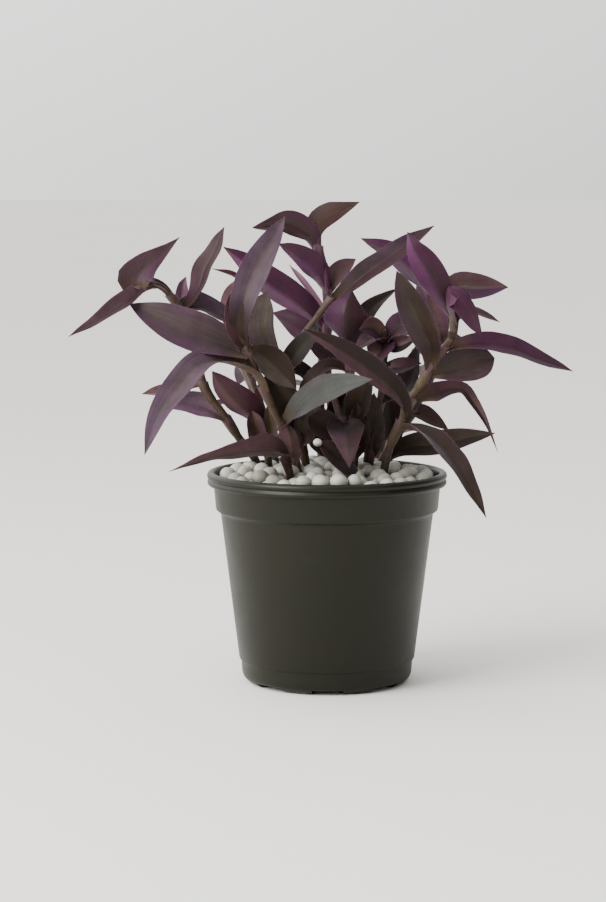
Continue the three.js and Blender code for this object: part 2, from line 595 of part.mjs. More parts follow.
function makeLeafyStem({ path, leaves }) {
  return wasm.Manifold.union([makeRod(path), ...leaves.map(makeBlade)]);
}

// ---------------------------------------------------------------- assembly

const LOOKS = {
  pot: material(0x3f3e36, 0.55),
  soil: material(0x2c2119, 0.95),
  pebbles: material(0xcfcdc2, 0.6),
  plant: material(0x5b4558, 0.5),
};

const stemHoles = Object.values(STEMS).map(({ path }) => makeRod(path, STEM_CLEARANCE));
const allHoles = wasm.Manifold.union(stemHoles);

const plant = new THREE.Group();

function addNode(name, solid, look) {
  const mesh = new THREE.Mesh(toGeometry(solid), look);
  mesh.name = name;
  plant.add(mesh);
}

addNode('pot', makePot(), LOOKS.pot);
addNode('soil', makeSoil().subtract(allHoles), LOOKS.soil);
addNode('pebbles', makePebbles().subtract(allHoles), LOOKS.pebbles);
for (const [name, stem] of Object.entries(STEMS)) {
  addNode(name, makeLeafyStem(stem), LOOKS.plant.clone());
}

export default plant;
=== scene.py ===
import math
import random

import bpy
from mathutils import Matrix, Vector, noise


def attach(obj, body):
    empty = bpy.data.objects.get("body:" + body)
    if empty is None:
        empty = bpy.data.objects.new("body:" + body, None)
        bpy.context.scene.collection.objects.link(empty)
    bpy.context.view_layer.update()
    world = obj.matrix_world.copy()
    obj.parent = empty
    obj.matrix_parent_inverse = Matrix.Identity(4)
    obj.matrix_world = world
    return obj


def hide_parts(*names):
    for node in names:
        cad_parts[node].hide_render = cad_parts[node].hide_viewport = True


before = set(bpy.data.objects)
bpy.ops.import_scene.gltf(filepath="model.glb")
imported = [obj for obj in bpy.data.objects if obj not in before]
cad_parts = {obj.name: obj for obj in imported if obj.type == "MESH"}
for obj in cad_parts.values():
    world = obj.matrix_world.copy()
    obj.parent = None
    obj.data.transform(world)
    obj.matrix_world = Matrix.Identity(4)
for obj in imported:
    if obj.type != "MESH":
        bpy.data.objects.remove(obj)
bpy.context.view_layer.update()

MM = 0.001

# ---- pot and filling
POT_SIDES = 160
RIM_R = 75
RIM_TOP = 132.5
COLLAR_R = 70.8
COLLAR_BOTTOM = 108.8
BODY_TOP_R = 66.5
BODY_FOOT_R = 55.1
BASE_R = 53.6
BASE_TOP = 14.8
FOOT_R = 46
FOOT_WIDTH = 6.5
WALL = 1.7
FLOOR_UNDERSIDE = 3.5
FLOOR_TOP = 5.2
NOTCHES = 8
NOTCH_WIDTH = 17.5
NOTCH_HEIGHT = 3
NOTCH_HALF_TURN = math.asin(NOTCH_WIDTH / 2 / FOOT_R)
NOTCH_WALL_TURN = 0.004
NOTCH_CLEAR_TURN = 0.02
CORNER_R = 7
DRAIN_R = 4
DRAIN_RING_R = 26
DRAIN_SIDES = 24

BED_R = 68.4
BED_BOTTOM = 117.4
BED_EDGE_Z = 121
BED_HEAP = 6
BED_SIDES = 64
# Painted shade: the bed under the stones is near black, so the gaps between them look shaded.
BED_GAP_SHADE = (0.028, 0.026, 0.02)
PEBBLE_R = 5.35
PEBBLE_PITCH = 10.8
PEBBLE_Z = 126.8
LAYER_DROP = 4.6
UPPER_KEPT = 0.72
STONE_ROWS = 9
STONE_COLUMNS = 14
STONE_PALE = (0.4, 0.4, 0.355)
STONE_WARM = (0.28, 0.26, 0.21)
STRAY_PLACE = (-6.2, -48, 155.3)
STRAY_R = 2.8

# ---- stems and blades
ROOT_Z = 96
STEM_SIDES = 18
STEM_STEP = 2.5
STEM_FOOT_R = 2.9
STEM_TIP_R = 1.9
NODE_SWELL = 0.55
SHEATH_LENGTH = 12
SHEATH_SLANT = 3.6
MOUTH_RINGS = (4, 5)
# A blade's thickness and rows, its folds in degrees, and its outline in shares of its length and width.
BLADE_THICK = 0.75
BLADE_MARGIN_THICK = 0.35
BLADE_STEP = 2.2
BLADE_MIN_ROWS = 16
BLADE_COLUMNS = 7
BLADE_FOLD = 24
BLADE_CLASP = 48
BLADE_FOOT = 0.4
BLADE_WIDEST = 0.42
BLADE_TAPER = 2.2
BLADE_TIP = 0.2
KEEL_SOFTNESS = 0.16
LEAN_SOFTNESS = 0.03
MARGIN_DROOP = 0.07
WAVE_LENGTHS = (26, 40)
WAVE_HEIGHTS = (0.25, 0.7)
GROOVE_DEPTH = 0.22
GROOVE_SPREAD = 0.09
RIB_DEPTH = 0.5
RIB_SPREAD = 0.1
HAIR_R = 0.05
HAIR_LENGTH = 1.3
MOUTH_HAIR_LENGTHS = (1.2, 2.4)
PLANT_TOP = 300.5
SEEDS_PER_STEM = 20

# ---- looks
# Places across a leaf run from 0 at the midrib to 1 at the margin, and along it from 0 to 1 at the tip.
HALF_BLEND = 0.14
FOOT_REACH = 0.22
# How a palette colour becomes a surface's own.
DEPTH = 0.345
SATURATION = 1.82

# Colours as they look in even light, in 0 to 255.
PALETTE = {
    # ink and shade are partly painted shade: dark old leaves and sheaths deep in the plant take them, darker
    # than their own colour, for the shadow there.
    "ink": (33, 25, 19),
    "shade": (48, 36, 32),
    "peat": (55, 45, 38),
    "raisin": (57, 38, 43),
    "sienna": (66, 49, 46),
    "damson": (67, 38, 63),
    "fig": (70, 47, 61),
    "umber": (71, 57, 53),
    "taupe": (73, 62, 64),
    "moss": (76, 68, 61),
    "wine": (80, 54, 60),
    "aubergine": (82, 55, 72),
    "dusk": (82, 69, 77),
    "maroon": (86, 63, 69),
    "rust": (90, 70, 72),
    "mauve": (91, 74, 80),
    "plum": (92, 65, 82),
    "lilac": (93, 80, 91),
    "violet": (104, 75, 98),
    "rosewood": (104, 86, 88),
    "slate": (85, 87, 85),
    "heather": (106, 93, 105),
    "ash": (106, 99, 94),
    "bark": (112, 94, 90),
    "orchid": (130, 101, 122),
    "rose": (128, 108, 111),
    "pearl": (132, 116, 128),
    "fog": (138, 128, 127),
    "petal": (154, 128, 142),
    "olive": (86, 76, 62),
    "tan": (102, 92, 78),
    "green": (88, 86, 74),
    "margin": (118, 92, 108),
    "hair": (196, 182, 190),
}


def leaf(route, width, face, upper, under, fold=BLADE_FOLD, widest=BLADE_WIDEST, taper=BLADE_TAPER,
         foot=None, reach=FOOT_REACH):
    """A leaf's midrib from stem to tip, its full width, the way its upper face looks, and its colours.

    A face with two colours has the first on its left half, partly as painted light and shade. foot is the
    colour near the stem, up to reach.
    """
    return {
        "route": route, "width": width, "face": face, "upper": upper, "under": under,
        "fold": fold, "widest": widest, "taper": taper, "foot": foot, "reach": reach,
    }


STEMS = {}


def add_stem(name, bark, path, *leaves):
    """A stem: the colour of its bark, the path of its axis from the pebbles up, and its leaves."""
    STEMS[name] = {"bark": bark, "path": path, "leaves": leaves}


add_stem(
    "front_left", "tan",
    [(-18, -12, 127), (-22, -14, 146), (-27, -17, 160), (-32, -20, 170), (-38, -25, 183), (-44, -29, 198),
     (-49, -32, 209)],
    leaf([(-26, -18, 162), (-14, -36, 176), (-4, -50, 184), (10, -66, 191), (26, -78, 196)],
         24, (-0.2, -0.8, 0.5), "slate", "plum"),
    leaf([(-39, -27, 184), (-44, -32, 194), (-53, -38, 200), (-66, -45, 204), (-77, -54, 202),
          (-88, -63, 190), (-100, -70, 174), (-109, -76, 151)],
         22, (-0.4, -0.8, 0.4), "lilac", "violet", foot="tan", reach=0.42, widest=0.5),
    leaf([(-49, -32, 207), (-65, -36, 214), (-84, -36, 221), (-102, -32, 229), (-121, -26, 238)],
         29, (0, -0.9, 0.5), ("dusk", "taupe"), "violet"),
    leaf([(-50, -32, 210), (-53, -37, 226), (-50, -38, 243), (-45, -34, 256), (-39, -28, 268),
          (-26, -14, 291)],
         20, (-0.2, -1, 0), ("heather", "lilac"), "maroon", foot="peat", reach=0.4, widest=0.5),
    leaf([(-50, -32, 210), (-56, -38, 225), (-58, -38, 246)],
         14, (0.3, -0.9, 0), ("rust", "peat"), "maroon", taper=4),
    leaf([(-48, -31, 211), (-41, -28, 207), (-32, -25, 199), (-19, -23, 186)],
         21, (0.1, -0.9, 0.3), ("peat", "ash"), "umber"),
    leaf([(-20, -14, 138), (-22, -18, 150), (-25, -21, 164)],
         15, (-0.3, -0.9, 0.1), ("rose", "umber"), "umber", fold=30, taper=6),
)
add_stem(
    "far_left", "olive",
    [(-42, 30, 124), (-45, 24, 136), (-54, 11, 150), (-65, 2, 168), (-76, -2, 184), (-79, -3, 196),
     (-83, -4, 211), (-89, -6, 228), (-95, -9, 240), (-103, -12, 248), (-109, -16, 249), (-114, -19, 247)],
    leaf([(-95, -9, 240), (-102, -12, 247), (-110, -16, 249), (-118, -24, 244), (-127, -34, 237),
          (-139, -44, 229), (-155, -58, 220)],
         13, (-0.1, -0.8, 0.6), ("raisin", "mauve"), "maroon", widest=0.5, taper=1.6),
    leaf([(-115, -20, 245), (-117, -20, 252), (-112, -18, 260), (-104, -15, 267), (-98, -11, 272),
          (-91, -7, 278)], 26, (0.1, -0.9, 0.3), ("mauve", "fig"), "maroon", widest=0.18, taper=0.8),
    leaf([(-89, -7, 233), (-83, -5, 239), (-79, -4, 248), (-76, -1, 258), (-71, 2, 267), (-64, 9, 284)],
         15, (-0.6, -0.8, 0), ("mauve", "raisin"), "umber", widest=0.5),
    leaf([(-93, -6, 235), (-91, 3, 241), (-90, 8, 248), (-88, 11, 253)],
         9, (0.2, -0.9, 0), "petal", "maroon"),
    leaf([(-93, -8, 235), (-79, 1, 235), (-66, 8, 229), (-56, 12, 220)],
         19, (0, -0.7, 0.7), ("pearl", "maroon"), "wine"),
    leaf([(-77, 0, 186), (-97, 0, 182), (-115, -6, 181)], 14, (0, -0.5, 0.8), "rose", "umber"),
    leaf([(-63, 3, 164), (-76, 2, 172), (-89, 0, 175), (-103, -4, 173)],
         17, (0, -0.9, 0.4), "pearl", "plum"),
)
add_stem(
    "low_left", "umber",
    [(-22, -26, 127), (-25, -28, 140), (-28, -30, 146)],
    leaf([(-25, -28, 141), (-30, -34, 148), (-40, -43, 150), (-50, -52, 150), (-62, -62, 149),
          (-73, -71, 148), (-94, -84, 142)],
         22, (0, -0.8, 0.7), ("peat", "rosewood"), "wine", widest=0.22, taper=0.85),
)
add_stem(
    "low_left_rear", "olive",
    [(-36, 14, 127), (-37, 9, 141), (-39, 1, 154), (-41, -2, 163)],
    leaf([(-41, -2, 158), (-47, -6, 168), (-56, -10, 176), (-64, -13, 185), (-71, -15, 196)],
         23, (0.4, 0.9, 0.2), "wine", "maroon", widest=0.45),
    leaf([(-38, -1, 148), (-43, -5, 154), (-45, -9, 163), (-47, -9, 171)],
         15, (0.1, -1, 0.1), "bark", "bark", fold=40, taper=4),
    leaf([(-37, -1, 144), (-35, -7, 154), (-37, -9, 175)], 10, (0, -1, 0), "tan", "tan"),
)
add_stem(
    "diagonal", "olive",
    [(-11, 4, 124), (-15, 2, 145), (-19, 0, 161), (-24, -3, 180), (-27, -7, 197), (-19, -10, 212),
     (-8, -12, 227), (3, -14, 241)],
    leaf([(2, -14, 238), (14, -16, 248), (25, -15, 257), (34, -13, 263), (48, -9, 273), (66, -2, 285)],
         16, (-0.3, -0.9, 0.4), ("dusk", "raisin"), "violet"),
    leaf([(-26, -6, 195), (-37, -10, 210), (-42, -14, 224), (-40, -15, 237), (-37, -15, 245)],
         19, (0, -1, 0.1), ("fog", "ash"), "umber", widest=0.6, taper=3),
    leaf([(-26, -6, 196), (-17, 4, 193), (-3, 12, 179)], 18, (0.3, -0.6, 0.7), "shade", "umber"),
    leaf([(-16, 3, 150), (-10, -8, 163), (-4, -13, 175)], 19, (-0.2, -0.9, 0.4), ("ash", "umber"), "wine"),
    leaf([(-19, 0, 158), (-24, -10, 174), (-30, -14, 185), (-39, -16, 196)],
         20, (-0.2, -0.8, 0.5), ("peat", "moss"), "umber", widest=0.5),
    leaf([(-27, -6, 194), (-22, -12, 203), (-16, -14, 211), (-5, -15, 224)],
         14, (-0.3, -0.9, 0.3), "ink", "ink", fold=12, taper=3),
)
add_stem(
    "top", "plum",
    [(6, 18, 123), (5, 17, 150), (2, 14, 176), (0, 10, 207), (0, 8, 227), (0, 6, 245), (-2, 5, 259),
     (-5, 4, 269), (-6, 3, 279)],
    leaf([(-6, 4, 269), (-9, 0, 277), (-15, -3, 282), (-24, -8, 286), (-34, -12, 285), (-46, -16, 284)],
         18, (0.1, 0.9, 0.4), "wine", ("mauve", "wine")),
    leaf([(-6, 4, 270), (-8, 3, 279), (-5, 1, 287), (4, -2, 293), (20, -6, 300)],
         16, (0, 0.9, 0.4), "umber", ("bark", "sienna")),
    leaf([(0, 6, 243), (-5, 3, 254), (-13, 0, 263), (-21, -3, 269), (-30, -6, 274)],
         18, (0.2, 0.9, 0.4), "plum", ("plum", "violet")),
    leaf([(1, 7, 242), (4, 10, 250), (9, 13, 257), (18, 16, 264)],
         15, (-0.3, -0.9, 0.3), ("rosewood", "rust"), "wine"),
    leaf([(-1, 8, 220), (-12, 6, 231), (-25, 4, 241), (-39, 0, 251), (-52, -3, 263), (-64, -6, 272)],
         23, (0.2, 0.9, 0.4), "dusk", ("aubergine", "orchid")),
    leaf([(5, 17, 150), (8, 11, 168), (13, 5, 186)], 18, (-0.2, -0.9, 0.2), "shade", "wine"),
    leaf([(0, 11, 207), (-11, 15, 216), (-22, 18, 224), (-34, 22, 230)],
         23, (0.2, 0.9, 0.4), "aubergine", "aubergine"),
)
add_stem(
    "centre", "umber",
    [(16, -4, 126), (16, -4, 152), (14, -6, 177), (14, -9, 196), (14, -12, 211)],
    leaf([(15, -12, 208), (11, -24, 218), (10, -30, 231), (12, -28, 240), (15, -23, 246)],
         35, (0.3, 0.9, 0.2), "plum", ("raisin", "damson"), fold=30, widest=0.46, taper=2.4),
    leaf([(15, -10, 211), (26, -4, 232), (43, 2, 246)], 14, (-0.4, -0.8, 0.5), "shade", "wine"),
    leaf([(15, -4, 162), (21, -12, 178), (27, -20, 196)], 19, (-0.3, -0.9, 0.3), ("peat", "ink"), "shade"),
    leaf([(14, -7, 194), (2, -2, 202), (-13, 4, 213)], 14, (0.2, -0.8, 0.6), ("wine", "raisin"), "wine"),
    leaf([(14, -9, 195), (-1, -14, 198), (-19, -20, 180)], 12, (0, -0.6, 0.8), "shade", "wine"),
    leaf([(16, -4, 141), (19, -10, 158), (18, -12, 177)], 17, (0.2, -1, 0.1), "peat", "shade", fold=34),
)
add_stem(
    "right_front", "tan",
    [(34, -18, 126), (38, -20, 148), (46, -24, 167), (50, -27, 179), (56, -29, 188), (62, -31, 199),
     (69, -33, 209), (76, -33, 219), (77, -31, 228)],
    leaf([(46, -24, 162), (56, -40, 161), (65, -60, 156), (76, -80, 144), (92, -102, 117)],
         19, (0.4, -0.7, 0.6), ("shade", "peat"), "wine"),
    leaf([(55, -27, 178), (65, -23, 182), (75, -20, 185), (83, -20, 185), (89, -23, 178), (97, -28, 165),
          (104, -32, 148)], 17, (0.1, -0.6, 0.8), ("rosewood", "raisin"), "wine", widest=0.14, taper=0.8),
    leaf([(62, -31, 199), (62, -38, 212), (56, -46, 226), (47, -52, 245), (41, -52, 259)],
         20, (-0.2, -1, 0.1), ("taupe", "peat"), "plum", widest=0.5, taper=2.6),
    leaf([(45, -23, 160), (46, -31, 175), (39, -42, 187), (28, -54, 197), (7, -70, 213), (-15, -80, 226)],
         18, (-0.3, -0.8, 0.5), ("rosewood", "shade"), "shade", widest=0.5),
    leaf([(64, -30, 195), (82, -31, 200), (102, -28, 205)],
         27, (0, -0.9, 0.4), "taupe", "umber", widest=0.58, taper=3),
    leaf([(72, -33, 210), (81, -33, 213), (96, -30, 214), (112, -23, 211), (126, -13, 205),
          (154, 10, 194)], 16, (0.1, -0.8, 0.6), ("plum", "aubergine"), "plum", widest=0.34),
    leaf([(77, -31, 227), (72, -35, 239), (73, -37, 249), (81, -38, 247), (89, -37, 237), (94, -35, 219)],
         34, (-0.5, 0, -0.8), "plum", "plum", fold=54, widest=0.45, taper=3.4),
    leaf([(78, -31, 227), (67, -38, 246), (57, -42, 263), (51, -42, 273), (48, -38, 282)],
         21, (0.3, 0.9, 0.2), "plum", ("fig", "violet"), widest=0.5),
)
add_stem(
    "right_rear", "umber",
    [(33, 20, 128), (43, 24, 149), (59, 28, 174), (71, 28, 200), (75, 24, 225), (73, 20, 239)],
    leaf([(38, 21, 136), (49, 13, 145), (71, 5, 149), (88, -1, 153), (104, -10, 157)],
         18, (0, -0.9, 0.4), ("moss", "shade"), "wine"),
    leaf([(43, 24, 149), (39, 18, 166), (37, 10, 186)], 23, (0.2, -0.9, 0.3), "shade", "wine"),
    leaf([(51, 27, 165), (59, 25, 166), (67, 22, 162), (77, 18, 156)],
         13, (0.2, -0.8, 0.5), "umber", "wine", widest=0.3),
    leaf([(74, 20, 236), (81, 13, 246), (92, 7, 246), (112, -2, 247)],
         20, (0, -0.9, 0.3), ("rust", "damson"), "plum"),
    leaf([(75, 24, 228), (90, 26, 231), (109, 24, 224)], 9, (0, -0.5, 0.8), "rosewood", "plum"),
    leaf([(73, 19, 238), (59, 14, 251), (41, 12, 267), (21, 10, 277)],
         18, (0.2, 0.9, 0.4), "plum", ("violet", "pearl")),
    leaf([(73, 24, 214), (67, 16, 227), (63, 12, 242)], 16, (0.2, -0.9, 0.2), "rose", "wine"),
)
add_stem(
    "low_centre", "umber",
    [(15, -16, 125), (13, -18, 144), (10, -20, 160), (6, -20, 174), (3, -19, 183)],
    leaf([(11, -22, 164), (11, -36, 161), (12, -50, 153), (13, -57, 141)],
         23, (0, -0.8, 0.5), ("raisin", "mauve"), "rose", foot="ink", reach=0.5, fold=14, widest=0.32,
         taper=1.5),
    leaf([(13, -18, 142), (14, -30, 142), (10, -40, 143), (2, -45, 149), (-6, -46, 156)],
         19, (-0.3, -0.9, 0.3), "shade", "umber", widest=0.5, taper=3),
    leaf([(12, -19, 151), (2, -22, 160), (-12, -21, 168)],
         20, (0.2, -0.9, 0.4), "shade", "wine", widest=0.6, taper=3),
)
add_stem(
    "rosette", "umber",
    [(25, 4, 126), (28, 2, 152), (33, -3, 177), (35, -8, 199), (35, -16, 214), (35, -24, 222)],
    leaf([(34, -18, 215), (26, -28, 216), (17, -36, 210)], 13, (-0.2, -0.6, 0.8), "dusk", "maroon"),
    leaf([(34, -20, 215), (27, -27, 223), (19, -38, 223)],
         15, (-0.3, -0.8, 0.3), ("fig", "bark"), "maroon"),
    leaf([(37, -20, 215), (45, -26, 225), (53, -36, 220)], 17, (0.3, -0.8, 0.3), ("fig", "raisin"), "wine"),
    leaf([(37, -17, 215), (44, -24, 212), (54, -28, 217)], 14, (0.2, -0.8, 0.5), ("rose", "ink"), "wine"),
    leaf([(35, -16, 213), (32, -26, 210), (28, -34, 202)], 18, (0, -0.7, 0.7), ("fig", "rose"), "wine"),
    leaf([(35, -8, 197), (46, -14, 198), (58, -18, 201)],
         14, (0, -0.7, 0.7), ("maroon", "raisin"), "maroon"),
    leaf([(32, -2, 174), (48, 5, 183), (58, 8, 212)], 17, (-0.6, -0.8, 0), ("raisin", "ink"), "wine"),
    leaf([(28, 4, 142), (27, -2, 162), (29, -8, 182)], 20, (0, -1, 0.1), ("moss", "ash"), "shade"),
)
add_stem(
    "rear_left", "olive",
    [(-32, 36, 124), (-34, 38, 142), (-40, 44, 162), (-48, 54, 182), (-56, 62, 200), (-62, 66, 216)],
    leaf([(-40, 44, 162), (-58, 50, 170), (-80, 50, 168)], 16, (-0.2, 0.2, 1), "lilac", "plum"),
    leaf([(-44, 49, 172), (-36, 37, 184), (-25, 27, 188)], 13, (0.2, -0.2, 0.9), "moss", "wine"),
    leaf([(-48, 54, 182), (-50, 76, 188), (-58, 98, 178)], 20, (0, 0.3, 1), "dusk", "fig"),
    leaf([(-56, 62, 200), (-70, 68, 212), (-92, 74, 214)], 18, (0.2, 0.4, 0.9), "dusk", "violet"),
    leaf([(-62, 66, 216), (-60, 78, 236), (-52, 90, 252)], 17, (-0.4, -0.8, 0.4), "rosewood", "maroon"),
    leaf([(-52, 58, 191), (-49, 50, 225), (-57, 46, 251), (-73, 44, 257)], 8, (0, 0.1, 1), "shade", "wine"),
)
add_stem(
    "rear_centre", "olive",
    [(-2, 46, 124), (-3, 50, 150), (-4, 56, 176), (-2, 62, 200), (2, 66, 220), (4, 68, 236)],
    leaf([(-4, 56, 176), (-18, 76, 180), (-34, 96, 174)], 19, (-0.2, 0.4, 0.9), "dusk", "plum"),
    leaf([(-4, 53, 164), (-11, 40, 174), (-16, 27, 172)], 14, (0, -0.3, 0.9), "umber", "wine"),
    leaf([(-2, 62, 200), (8, 82, 208), (20, 103, 204)], 19, (0.2, 0.3, 0.9), "dusk", "violet"),
    leaf([(2, 66, 220), (-10, 74, 240), (-24, 82, 258)], 7, (0.5, -0.7, 0.5), "petal", "maroon"),
    leaf([(4, 68, 236), (10, 84, 236), (18, 100, 228)], 16, (0, 0.3, 1), "lilac", "plum"),
    leaf([(-2, 47, 138), (-9, 37, 154), (-15, 28, 164)], 18, (0.2, -0.9, 0.4), "umber", "wine"),
)
add_stem(
    "rear_right", "tan",
    [(32, 44, 124), (35, 47, 144), (42, 52, 164), (50, 56, 184), (58, 62, 202), (64, 66, 218)],
    leaf([(35, 47, 144), (56, 58, 152), (84, 64, 147)], 14, (0.2, 0.1, 1), "umber", "wine"),
    leaf([(50, 56, 184), (56, 78, 190), (60, 102, 182)], 19, (0.1, 0.3, 1), "dusk", "plum"),
    leaf([(45, 53, 172), (38, 44, 182), (24, 36, 188)], 13, (-0.2, -0.4, 0.9), "umber", "wine"),
    leaf([(58, 62, 202), (74, 70, 208), (96, 76, 204)], 18, (-0.2, 0.6, 0.8), "dusk", "violet"),
    leaf([(64, 66, 218), (66, 80, 232), (60, 94, 246)], 16, (0.3, -0.8, 0.5), "plum", "maroon"),
    leaf([(64, 66, 218), (78, 80, 226), (92, 98, 222)], 15, (0, 0.1, 1), "lilac", "violet"),
)
add_stem(
    "far_rear", "olive",
    [(8, 58, 124), (8, 60, 140), (9, 68, 158), (11, 78, 172)],
    leaf([(8, 60, 142), (-12, 74, 150), (-36, 86, 142)], 17, (-0.2, 0.3, 1), "umber", "wine"),
    leaf([(9, 68, 158), (30, 82, 164), (52, 94, 156)], 17, (0.2, 0.3, 1), "dusk", "plum"),
    leaf([(11, 78, 172), (8, 92, 180), (2, 104, 170)], 17, (0, 0.5, 0.9), "dusk", "maroon"),
)


# ---- curves
def smoothstep(low, high, value):
    share = min(1, max(0, (value - low) / (high - low)))
    return share * share * (3 - 2 * share)


def lerp(a, b, share):
    return a + (b - a) * share


def smooth_points(route, steps=16):
    """Points of the centripetal curve through a route."""
    knots = [Vector(p) for p in route]
    knots = [knots[0] * 2 - knots[1]] + knots + [knots[-1] * 2 - knots[-2]]
    points = []
    for k in range(1, len(knots) - 2):
        p0, p1, p2, p3 = knots[k - 1:k + 3]
        d0 = math.sqrt((p1 - p0).length)
        d1 = math.sqrt((p2 - p1).length)
        d2 = math.sqrt((p3 - p2).length)
        leave = ((p1 - p0) / d0 - (p2 - p0) / (d0 + d1) + (p2 - p1) / d1) * d1
        reach = ((p2 - p1) / d1 - (p3 - p1) / (d1 + d2) + (p3 - p2) / d2) * d1
        for i in range(steps):
            t = i / steps
            bend = (p2 - p1) * 3 - leave * 2 - reach
            swing = (p1 - p2) * 2 + leave + reach
            points.append(p1 + leave * t + bend * t ** 2 + swing * t ** 3)
    points.append(knots[-2])
    return points


def chain_length(points):
    return sum((b - a).length for a, b in zip(points, points[1:]))


def spaced(points, count):
    """count + 1 points along a chain, equally far apart."""
    step = chain_length(points) / count
    result = [points[0].copy()]
    walked = 0
    target = step
    for a, b in zip(points, points[1:]):
        length = (b - a).length
        while len(result) < count and walked + length >= target:
            result.append(a.lerp(b, (target - walked) / length))
            target += step
        walked += length
    result.append(points[-1].copy())
    return result


def tangents_of(points):
    last = len(points) - 1
    return [(points[min(last, i + 1)] - points[max(0, i - 1)]).normalized() for i in range(last + 1)]


def square_to(vector, tangent):
    return (vector - tangent * vector.dot(tangent)).normalized()


def carried_normals(tangents, face):
    """Normals that start from the given one at the middle and turn as little as they can."""
    middle = len(tangents) // 2
    normals = [None] * len(tangents)
    normals[middle] = square_to(Vector(face), tangents[middle])
    for i in range(middle + 1, len(tangents)):
        normals[i] = square_to(normals[i - 1], tangents[i])
    for i in range(middle - 1, -1, -1):
        normals[i] = square_to(normals[i + 1], tangents[i])
    return normals


def even_angles(count):
    return [2 * math.pi * i / count for i in range(count)]


def polar(radius, angle, z=0):
    """The point at a distance and an angle round the upright axis."""
    return Vector((radius * math.cos(angle), radius * math.sin(angle), z))


class Line:
    """A line cut into equal steps, with the way it runs and a face's way at each point."""

    def __init__(self, curve, rows, face):
        self.points = spaced(curve, rows)
        self.tangents = tangents_of(self.points)
        self.normals = carried_normals(self.tangents, face)

    def nearest(self, point):
        return min(range(len(self.points)), key=lambda i: (self.points[i] - point).length)

    def frame_at(self, position):
        """Point, tangent and normal at a place between two points."""
        low = max(0, min(len(self.points) - 2, math.floor(position)))
        share = position - low
        centre = self.points[low].lerp(self.points[low + 1], share)
        tangent = self.tangents[low].lerp(self.tangents[low + 1], share).normalized()
        return centre, tangent, self.normals[low]


# ---- colours
def linear(channel):
    share = channel / 255
    if share <= 0.04045:
        return share / 12.92
    return ((share + 0.055) / 1.055) ** 2.4


def colour(name):
    """A palette colour as a surface's own, deeper than it looks in bright light."""
    tint = Vector([linear(channel) for channel in PALETTE[name]])
    grey = Vector([sum(tint) / 3] * 3)
    return (grey + (tint - grey) * SATURATION) * DEPTH


def patch(point, size, seed):
    """Soft noise from 0 to 1 with patches of about that size."""
    return 0.5 + 0.5 * noise.noise(Vector(point) / size + Vector((seed, 3 * seed, 7 * seed)))


# ---- meshes
def add_object(name, data):
    obj = bpy.data.objects.new(name, data)
    bpy.context.scene.collection.objects.link(obj)
    return obj


class Skin:
    """Faces gathered into one mesh, each point with a tint and a place on its leaf."""

    def __init__(self):
        self.points = []
        self.tints = []
        self.places = []
        self.faces = []
        self.slots = []

    def add(self, point, tint, place=(0.5, 0.5)):
        self.points.append(point)
        self.tints.append(tint)
        self.places.append(place)
        return len(self.points) - 1

    def face(self, corners, slot):
        self.faces.append(corners)
        self.slots.append(slot)

    def level_ring(self, centre, radius, count, tint):
        """The point numbers of a level circle."""
        return [self.add(centre + polar(radius, angle), tint) for angle in even_angles(count)]

    def rings(self, rings, slot):
        """A closed body through rings of equally many point numbers."""
        size = len(rings[0])
        for low, high in zip(rings, rings[1:]):
            for j in range(size):
                k = (j + 1) % size
                self.face((low[j], low[k], high[k], high[j]), slot)
        self.face(tuple(reversed(rings[0])), slot)
        self.face(tuple(rings[-1]), slot)

    def build(self, name, materials, sharp=50):
        mesh = bpy.data.meshes.new(name)
        mesh.from_pydata([p * MM for p in self.points], [], self.faces)
        for material in materials:
            mesh.materials.append(material)
        mesh.polygons.foreach_set("material_index", self.slots)
        tints = mesh.color_attributes.new("tint", "FLOAT_COLOR", "POINT")
        tints.data.foreach_set("color", [c for tint in self.tints for c in (*tint, 1)])
        layer = mesh.uv_layers.new(name="place")
        corners = [loop.vertex_index for loop in mesh.loops]
        layer.data.foreach_set("uv", [c for v in corners for c in self.places[v]])
        mesh.shade_smooth()
        mesh.set_sharp_from_angle(angle=math.radians(sharp))
        return add_object(name, mesh)


